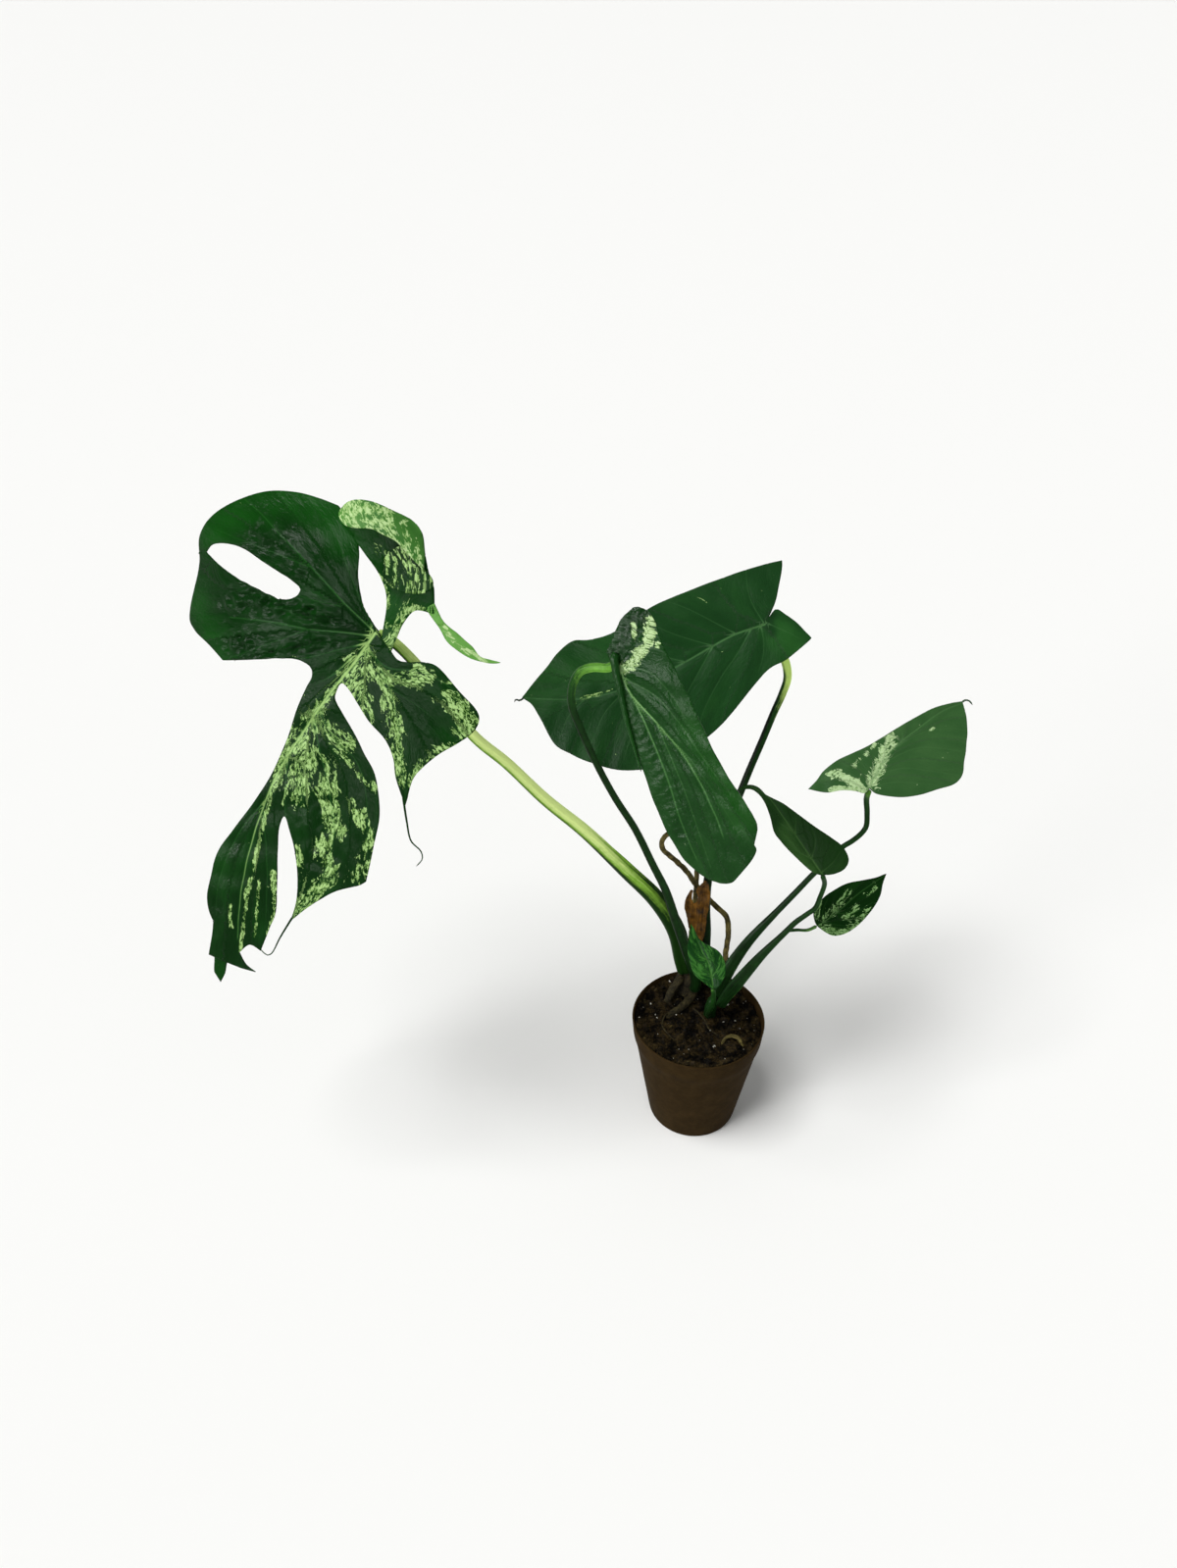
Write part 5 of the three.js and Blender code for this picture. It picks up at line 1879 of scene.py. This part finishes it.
HANGING_LEAF = Blade(
    name="hanging_leaf",
    seat=(-81, -20, 497),
    turn=-22,
    lean=14,
    tip=(100, -150),
    crease=0.1,
    roll=(0.005, 0.005),
    arch=0.0004,
    back=0.003,
    ripple=0.6,
    vein_pitch=26,
    step=1.3,
    slot="green_leaf",
    sheets=(
        Sheet(
            edge=(
                ((-4, 16), (0, 30), (6, 38), (11, 41), (19, 39), (25, 32), (32, 19), (49, -6),
                 (60, -23), (82, -58), (105, -87), (111, -95), (115, -104), (115, -117)),
                ((117, -121), (115, -129), (110, -139), (104, -150), (99, -153)),
                ((93, -154), (84, -152), (74, -147), (62, -136), (46, -112), (29, -76),
                 (14, -40), (7, -23), (1, -10), (-7, 7)),
            ),
            tint=0.35,
            pale=(
                Stroke(((22, 33), (22, 24), (19, 13), (14, 4), (5, -4)), 8, 0.9),
                Stroke(((10, 30), (12, 20)), 4, 0.5),
                Stroke(((29, 19), (29, 17)), 3, 0.9),
            ),
        ),
    ),
    veins=(
        Vein(((0, 3), (6, -8), (13, -20), (35, -38), (51, -52), (68, -72), (83, -96), (92, -114)),
             (2.2, 0.8), 0.8, 0.8),
        Vein(((13, -20), (27, -41), (46, -76), (61, -111), (75, -138)), (1.6, 0.7), 0.6, 0.6),
        Vein(((9, -10), (33, -19), (52, -36), (72, -59), (92, -80)), (1.2, 0.6), 0.4, 0.25),
        Vein(((4, -2), (25, -2), (41, -14), (54, -30)), (1.2, 0.6), 0.4, 0.25),
        Vein(((35, -38), (58, -80), (72, -110), (86, -142)), (1.2, 0.6), 0.35, 0.3),
        Vein(((40, -43), (62, -60), (85, -86), (104, -112)), (1.0, 0.6), 0.3, 0.2),
    ),
    upper=LeafFinish("glossy_leaf_upper", "#09220a", "#113a10", "#1c4f16", "#4f8644",
                     midrib="#8fbe76", cream="#b8d29a", roughness=0.26, specular=0.1,
                     cell=1.2, solid=0.2, blotch=5.0, stretch=1.5),
    puckers=(
        Stroke(((12, -18), (30, -50), (47, -86), (62, -118)), 14, 0.4),
        Stroke(((10, 34), (8, 20), (4, 8)), 16, 0.8),
    ),
    pucker_size=5.5,
    pucker_grain=(1.2, 45),
    bright=(Stroke(((60, -40), (85, -70), (105, -100)), 18, 0.7),),
    darkened=(Stroke(((2, 8), (6, 28), (14, 36)), 14, 1.0),),
    quilt=1.3,
    seed=31,
    threads=((((-1, 8), (2, -5), (7, -20), (14, -40), (21, -58), (28, -76)), (3.2, 0.6)),),
    thread_lift=3.2,
)

RIGHT_LEAF = Blade(
    name="right_leaf",
    seat=(129, 34, 347),
    turn=6,
    lean=42,
    tip=(94, 72.5),
    crease=0.14,
    roll=(0.004, 0.004),
    arch=0.0012,
    back=0.004,
    ripple=0.5,
    vein_pitch=20,
    step=1.1,
    slot="variegated_leaf",
    sheets=(
        Sheet(
            edge=(
                ((94.5, 64), (94, 51), (90.5, 35), (86.5, 21), (82.5, 8), (74, 1.5), (59, -2),
                 (44, -5.5), (29, -7), (16, -5.5), (5.5, -2.5), (1, 2)),
                ((-4, -1.5), (-10.5, 0.5), (-22, 2), (-34.5, 1), (-49, 5)),
                ((-41.5, 12), (-35.5, 19), (-24.5, 26.5), (-10.5, 32), (2.5, 37), (17.5, 44.5),
                 (34, 53), (50, 60.5), (65.5, 67), (82.5, 71), (94, 72.5)),
            ),
            tint=0.35,
            pale=(
                Stroke(((24, 42), (17, 32), (10, 19), (3, 7)), 11, 0.8),
                Stroke(((-3, 0), (-14, 8), (-23, 15), (-30, 17)), 8, 0.8),
                Stroke(((-31, 3), (-24, 4), (-12, 1)), 5, 0.95),
                Stroke(((8, 37), (3, 32), (-9, 24), (-11, 21)), 5, 0.65),
                Stroke(((60, 48), (62, 49)), 3, 0.7),
            ),
        ),
    ),
    veins=(
        Vein(((0, 0), (6, 12), (25, 34), (49, 50), (73, 64), (94, 71)), (1.8, 0.7), 0.6, 0.6),
        Vein(((2, 3), (22, 6), (42, 4), (59, 1)), (1.1, 0.5), 0.35, 0.2),
        Vein(((6, 12), (30, 17), (57, 13), (79, 9)), (1.1, 0.5), 0.35, 0.2),
        Vein(((14, 22), (43, 33), (67, 32), (87, 28)), (1.1, 0.5), 0.35, 0.2),
        Vein(((25, 34), (52, 46), (77, 49), (92, 47)), (1.1, 0.5), 0.3, 0.15),
        Vein(((0, 0), (-11, 13), (-23, 17), (-34, 16)), (1.1, 0.5), 0.35, 0.2),
        Vein(((4, 9), (-3, 22), (-9, 28)), (1.0, 0.5), 0.3, 0.15),
        Vein(((0, -1), (-18, 3), (-34, 4)), (1.0, 0.5), 0.3, 0.15),
        Vein(((14, 22), (12, 32), (8, 38)), (1.0, 0.5), 0.3, 0.15),
        Vein(((32, 39), (34, 46), (32, 51)), (1.0, 0.5), 0.3, 0.15),
    ),
    upper=LeafFinish("pale_green_leaf_upper", "#204220", "#2f562a", "#466c3a", "#54804a",
                     midrib="#8cb272", pale="#8bb070", cream="#b6d29c", roughness=0.4,
                     specular=0.1, cell=1.3, solid=0.25, blotch=6.0, stretch=2.2),
    quilt=0.3,
    seed=41,
    threads=((((93, 71), (97, 73.5), (101, 72.5), (103, 69)), (0.9, 0.6)),),
    thread_tint=(-0.2, -0.2),
)

DARK_LEAF = Blade(
    name="dark_leaf",
    seat=(86, -22, 305),
    turn=-8,
    lean=30,
    tip=(-48, 54),
    crease=0.16,
    roll=(0.006, 0.006),
    arch=0.002,
    back=0.006,
    vein_pitch=16,
    step=1.0,
    slot="green_leaf",
    sheets=(
        Sheet(
            edge=(
                ((-67.5, 64), (-61.5, 66), (-55, 64.5), (-48, 59), (-35, 54), (-21.5, 46),
                 (-8.5, 38), (4, 31), (14.5, 24), (20, 14.5), (17.5, 6.5), (9.5, 1.5),
                 (-0.5, -0.5)),
                ((-9, 2.5), (-26, 16), (-34, 23.5), (-40, 30.5), (-44, 42), (-49, 52.5),
                 (-55, 59.5), (-62, 62.5), (-73, 60)),
            ),
            tint=0.2,
        ),
    ),
    veins=(
        Vein(((0, 1), (-16, 21), (-33, 42), (-47, 58), (-60, 64)), (1.8, 0.6), 0.5, 0.5),
        Vein(((-9, 12), (-22, 18), (-34, 28)), (1.0, 0.5), 0.3, 0.25),
        Vein(((-23, 30), (-36, 38)), (1.0, 0.5), 0.3, 0.25),
        Vein(((-9, 12), (-7, 26), (-11, 37)), (1.0, 0.5), 0.3, 0.25),
        Vein(((-23, 30), (-24, 44)), (1.0, 0.5), 0.3, 0.25),
        Vein(((0, 2), (8, 11), (13, 20)), (1.0, 0.5), 0.3, 0.25),
    ),
    upper=LeafFinish("dull_leaf_upper", "#091d07", "#12300c", "#2f5022", "#3f6030",
                     midrib="#55783f", roughness=0.5, specular=0.04),
    bright=(Stroke(((-32, 34), (-21, 17), (-8, 4)), 11, 1.0),),
    quilt=0.25,
    seed=51,
)

MARBLED_LEAF = Blade(
    name="marbled_leaf",
    seat=(95, 0, 229),
    turn=10,
    lean=38,
    tip=(74, 36.5),
    crease=0.18,
    roll=(0.006, 0.006),
    arch=0.0025,
    back=0.006,
    vein_pitch=14,
    step=0.9,
    slot="variegated_leaf",
    sheets=(
        Sheet(
            edge=(
                ((62, 34.5), (50, 34), (32, 33), (17, 28), (7, 22.5), (-1.5, 13.5), (-1.5, 4),
                 (1.5, -1)),
                ((7, -6), (13.5, -9.5), (23.5, -9), (35, -4.5), (47, 3.5), (57, 12), (63.5, 19.5),
                 (68, 28.5), (74, 36.5)),
            ),
            pale=(
                Stroke(((2, -3), (19, -8), (34, -3), (47, 5)), 10, 0.75),
                Stroke(((6, 7), (22, 15), (31, 24)), 9, 0.56),
                Stroke(((1, 8), (4, 21)), 5, 0.8),
                Stroke(((50, 22), (59, 27)), 6, 0.55),
                Stroke(((28, 4), (38, 10)), 9, 0.6),
            ),
        ),
    ),
    veins=(
        Vein(((0, 0), (18, 9), (42, 23), (72, 35.5)), (1.4, 0.6), 0.5, 0.6),
        Vein(((6, 3), (18, -1), (34, -4)), (0.9, 0.5), 0.3, 0.3),
        Vein(((18, 9), (36, 8), (54, 14)), (0.9, 0.5), 0.3, 0.3),
        Vein(((6, 3), (6, 12), (12, 22)), (0.9, 0.5), 0.3, 0.3),
        Vein(((18, 9), (24, 20), (36, 30)), (0.9, 0.5), 0.3, 0.3),
    ),
    upper=LeafFinish("marbled_leaf_upper", "#061a05", "#0b2a09", "#174210", "#34622a",
                     midrib="#7fa668", pale="#6f9a58", cream="#93b87c", cell=1.1, blotch=4.0,
                     stretch=3.0),
    quilt=0.25,
    seed=61,
)

YOUNG_LEAF = Blade(
    name="young_leaf",
    seat=(7, -24, 179),
    turn=-6,
    lean=32,
    tip=(-22, 53),
    crease=0.25,
    roll=(0.01, 0.01),
    arch=0.003,
    back=0.01,
    vein_pitch=12,
    step=0.8,
    slot="variegated_leaf",
    sheets=(
        Sheet(
            edge=(
                ((-23, 41), (-23.5, 31), (-20.5, 20.5), (-16.5, 11.5), (-9, 5.5), (-0.5, -0.5)),
                ((5, 2.5), (9.5, 11.5), (10, 19.5), (7, 28), (2.5, 33), (-3.5, 36), (-9.5, 38),
                 (-15, 42.5), (-18.5, 48.5), (-22, 53)),
            ),
            marbling=0.56,
        ),
    ),
    veins=(
        Vein(((0, 3), (-4, 20), (-12, 33), (-20, 49)), (1.2, 0.5), 0.4, 0.5),
        Vein(((-2, 10), (-9, 12), (-16, 18)), (0.8, 0.4), 0.25, 0.3),
        Vein(((-6, 24), (-14, 27), (-20, 34)), (0.8, 0.4), 0.25, 0.3),
        Vein(((-2, 10), (3, 16), (5, 24)), (0.8, 0.4), 0.25, 0.3),
    ),
    upper=LeafFinish("young_leaf_upper", "#08240a", "#103612", "#1c4c18", "#4c8036",
                     midrib="#5f9048", veiled="#1a4616", pale="#28581e", cream="#386c2c",
                     cell=2.2, blotch=9.0, stretch=4.5),
    quilt=0.2,
    seed=71,
)

BLADES = (SPLIT_LEAF, HEART_LEAF, HANGING_LEAF, RIGHT_LEAF, DARK_LEAF, MARBLED_LEAF, YOUNG_LEAF)

PALE_STALK = StalkFinish("pale_petiole_skin", "#16340c", "#82b23c", "#dcf296")
GREEN_STALK = StalkFinish("green_petiole_skin", "#0a1a08", "#1d4618", "#7bba44")
# Its ripe colour is paler than the knee's own yellow green, as painted light on the heart leaf's
# knee, which the leaf shades.
RIPE_AND_LIT_STALK = StalkFinish("ripe_and_lit_petiole_skin", "#081508", "#1d4618", "#d8fa84")
OLD_BARK = BarkFinish("corky_old_stem", "#0f0c06", "#443d24", 1.6, 1.5)
ROOT_SKIN = BarkFinish("dry_root_skin", "#26220f", "#7d7140", 1.2, 5.0)
HUSK = BarkFinish("dry_papery_husk", "#2a1a05", "#8a5e1e", 1.5, 20.0, roughness=0.6, bump=0.5)

WINGED_FOOT = (Ridge(90, 24, -0.2), Ridge(30, 11, 0.08, -1, 0.4, 0.3),
               Ridge(150, 11, 0.08, -1, 0.4, 0.2))

# Each stalk's underside is painted shade, taken off its tint on the side away from the light.
LIMBS = (
    Limb("old_stem", [(-7, 41, 72), (-7, 40, 100), (-7, 40, 122), (-6, 40, 138)],
         ((18, 18), (22, 21), (21, 20), (19, 18)), OLD_BARK, "stem_bark", ("main_stem",),
         sides=40, pitch=1.2, rough=0.05, rough_size=6,
         swell=((44, 3, 0.06), (56, 2.5, 0.08))),
    Limb("young_shoot", [(10, 10, 80), (11, 9, 105), (12, 9, 122), (14, 9, 134)],
         ((9, 9), (12, 11), (11, 11), (9, 9)), GREEN_STALK, "green_stalk", ("side_shoot",),
         tint=((0, -0.1), (1, 0.1)), sides=28, pitch=1.5, swell=((42, 2, 0.06),)),
    Limb("split_leaf_stalk",
         [(-10, 38, 136), (-14, 37, 153), (-22, 35, 192), (-41, 31, 232), (-67.8, 24.5, 270.3),
          (-102.7, 16.4, 318.8), (-134, 10.3, 355.5), (-162.8, 4.4, 394.7), (-186, 1.4, 421.2),
          (-213, -5, 472), (-236, -10, 507), (-246.5, -16, 518.5)],
         ((14, 12), (15.5, 12), (14.5, 11.5), (12.5, 10.5), (10.5, 10), (9.3, 9), (8.6, 8.5), (8, 8),
          (7.5, 7)),
         PALE_STALK, "pale_stalk", ("split_leaf_petiole",),
         tint=((0, -0.35), (0.12, -0.25), (0.2, 0.0), (0.3, 0.3), (0.45, 0.7), (0.8, 0.85),
               (1, 0.45)), sides=48, painted_shade=0.75,
         ridges=(Ridge(98, 26, -0.2), Ridge(14, 7, 0.24, -1, 0.45, -0.25),
                 Ridge(30, 8, -0.1, -1, 0.5, -0.35), Ridge(70, 7, 0.05, -1, 2, 0.12))),
    Limb("hanging_leaf_stalk",
         [(-2, 27, 124), (-2, 22, 144), (-12, 21, 179), (-23, 20, 215), (-34, 19, 253),
          (-46, 17, 283), (-62, 13, 324), (-79, 10, 358), (-94, 6, 394), (-107, 2, 431),
          (-112, -1, 449), (-112, -4, 467), (-106, -7, 482), (-97, -11, 488), (-87, -15, 490),
          (-80, -19, 495)],
         ((10, 9), (9, 8), (8, 7), (6.5, 6), (6, 6), (5.5, 5.5), (5.5, 5.5), (6, 6), (7, 6.5)),
         GREEN_STALK, "green_stalk", ("hanging_leaf_petiole",),
         tint=((0, 0.05), (0.78, 0.08), (0.89, 0.3), (0.96, 0.56), (1, 0.5)), sides=32,
         painted_shade=0.12, ridges=(Ridge(90, 24, -0.14), Ridge(30, 10, 0.06, -1, 2, 0.14))),
    # Its knee takes the pale ripe colour of its finish: partly the knee's own yellow green, partly
    # painted light.
    Limb("heart_leaf_stalk",
         [(5, 42, 137), (7, 42, 154), (7, 44, 181), (5, 47, 214), (7, 51, 251), (19, 58, 290),
          (35, 69, 340), (45, 75, 369), (53, 80, 393), (59, 83, 410), (62, 85, 424),
          (59, 87, 438), (49, 86, 455), (41, 81, 474)],
         ((9, 8), (9, 8), (8, 7), (7, 6.5), (6.5, 6), (6, 6), (6, 6), (7, 7), (7, 6)),
         RIPE_AND_LIT_STALK, "green_stalk", ("heart_leaf_petiole",),
         tint=((0, 0.0), (0.62, 0.03), (0.74, 0.2), (0.82, 0.6), (0.9, 1.0), (1, 1.0)),
         sides=32, painted_shade=0.45, ridges=(Ridge(90, 24, -0.12), Ridge(40, 10, 0.05, -1, 2, 0.1))),
    Limb("right_leaf_stalk",
         [(17, 13, 121), (19, 13, 138), (23, 14, 156), (32, 17, 176), (43, 20, 195),
          (63, 25, 221), (79, 29, 241), (94, 33, 260), (116, 38, 285), (124, 40, 290),
          (131, 42, 296), (135, 44, 302), (134, 45, 317), (131, 43, 332), (129.5, 36, 346)],
         ((8.5, 7), (12.5, 7), (9, 6), (5.8, 5), (5, 4.5), (4.5, 4.5), (4.5, 4.5), (5, 5)),
         GREEN_STALK, "green_stalk", ("right_leaf_petiole",),
         tint=((0, 0.08), (0.3, 0.05), (0.85, 0.12), (0.95, 0.3), (1, 0.5)),
         sides=40, painted_shade=0.1, ridges=WINGED_FOOT),
    Limb("dark_leaf_stalk",
         [(19, 4, 127), (24, 3, 142), (33, 1, 162), (50, 0, 194), (68, -2, 224), (75, -3, 236),
          (84, -5, 248), (89, -7, 256), (91, -9, 269), (92, -13, 287), (87, -22, 304)],
         ((9, 8), (12, 7), (9, 6), (5.5, 5), (4.5, 4), (4, 4), (4, 4)),
         GREEN_STALK, "green_stalk", ("dark_leaf_petiole",),
         tint=((0, 0.08), (0.3, 0.07), (0.8, 0.16), (1, 0.25)),
         sides=40, painted_shade=0.1, ridges=WINGED_FOOT),
    Limb("marbled_leaf_stalk", [(69, -2, 226), (79, 1, 224), (88, 3, 222), (95, 1, 228.5)],
         ((3, 3), (2.6, 2.6), (3, 3)), GREEN_STALK, "green_stalk", ("marbled_leaf_petiole",),
         tint=((0, 0.3), (1, 0.4)), sides=14, pitch=1.5),
    Limb("young_leaf_stalk",
         [(9, 2, 118), (9, -4, 130), (10, -12, 147), (9, -19, 167), (7.3, -24, 178.5)],
         ((5, 5), (4.5, 4.5), (4, 4)), GREEN_STALK, "pale_stalk", ("young_leaf_petiole",),
         tint=((0, 0.0), (1, 0.3)), sides=16, pitch=2),
    Limb("looped_aerial_root",
         [(27, 35, 100), (27, 36, 128), (26, 38, 151), (26, 40, 164), (27, 42, 174),
          (27, 46, 186), (25, 50, 195), (17, 54, 202), (10, 57, 208), (-3, 58, 225),
          (-13, 55, 244), (-25, 51, 261), (-35, 48, 274), (-37, 48, 282), (-33, 50, 289),
          (-27, 54, 288), (-14, 64, 278), (-5, 70, 258), (-2, 70, 225), (-3, 66, 185),
          (-5, 58, 152), (-6, 47, 126)],
         ((6, 6), (5, 5), (5, 5), (4.5, 4.5), (4.5, 4.5), (4.5, 4.5), (5, 5)), ROOT_SKIN,
         "root_skin", ("aerial_root",), sides=16, pitch=2, rough=0.06, rough_size=9),
    Limb("surface_root_skin",
         [(-1, 33, 122), (-4, 25, 119), (-15, 14, 115), (-24, 9, 112), (-34, 4, 104)],
         ((8, 8), (7.5, 7), (6.5, 6), (5, 5)), OLD_BARK, "root_skin", ("surface_root",),
         sides=24, pitch=1.5, rough=0.07, rough_size=6),
    Limb("prop_root_skin", [(-12, 37, 134), (-17, 32, 130), (-23, 29, 120), (-28, 25, 104)],
         ((8, 8), (7.5, 7.5), (7, 7)), OLD_BARK, "stem_bark", ("prop_root",),
         sides=24, pitch=1.5, rough=0.07, rough_size=6),
    Limb("curled_bark_strip",
         [(19, -28, 112), (22, -24, 115.5), (28, -22, 117), (34, -24, 116), (38, -30, 111)],
         ((2.2, 1.4), (3.6, 1.6), (3.8, 1.6), (2.2, 1.4)), ROOT_SKIN, "potting_soil", (), sides=14,
         pitch=1.2, rough=0.1, rough_size=5),
    Limb("front_rootlet",
         [(-3, 16, 112), (1, 7, 115.5), (6, -2, 115.5), (9, -11, 114.5), (16, -17, 113),
          (20, -17, 110)],
         ((1.6, 1.6), (1.4, 1.4), (1.1, 1.1)), OLD_BARK, "potting_soil", (), sides=10, pitch=1.5,
         rough=0.08, rough_size=5),
    Limb("left_rootlet",
         [(-24, 12, 110), (-30, 4, 115), (-33, -8, 115), (-28, -19, 115.5), (-22, -24, 112)],
         ((1.5, 1.5), (1.3, 1.3), (1.0, 1.0)), OLD_BARK, "potting_soil", (), sides=10, pitch=1.5,
         rough=0.08, rough_size=5),
)


def main() -> None:
    """Builds the plant, its pot and the studio round them."""
    logging.basicConfig(level=logging.INFO, format="%(name)s %(message)s")
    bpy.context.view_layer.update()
    Studio().build()
    pot = Pot()
    pot.build()
    Soil(pot).build()
    for limb in LIMBS:
        limb.build()
    DrySheath().build()
    for blade in BLADES:
        blade.build()


if __name__ == "__main__":
    main()
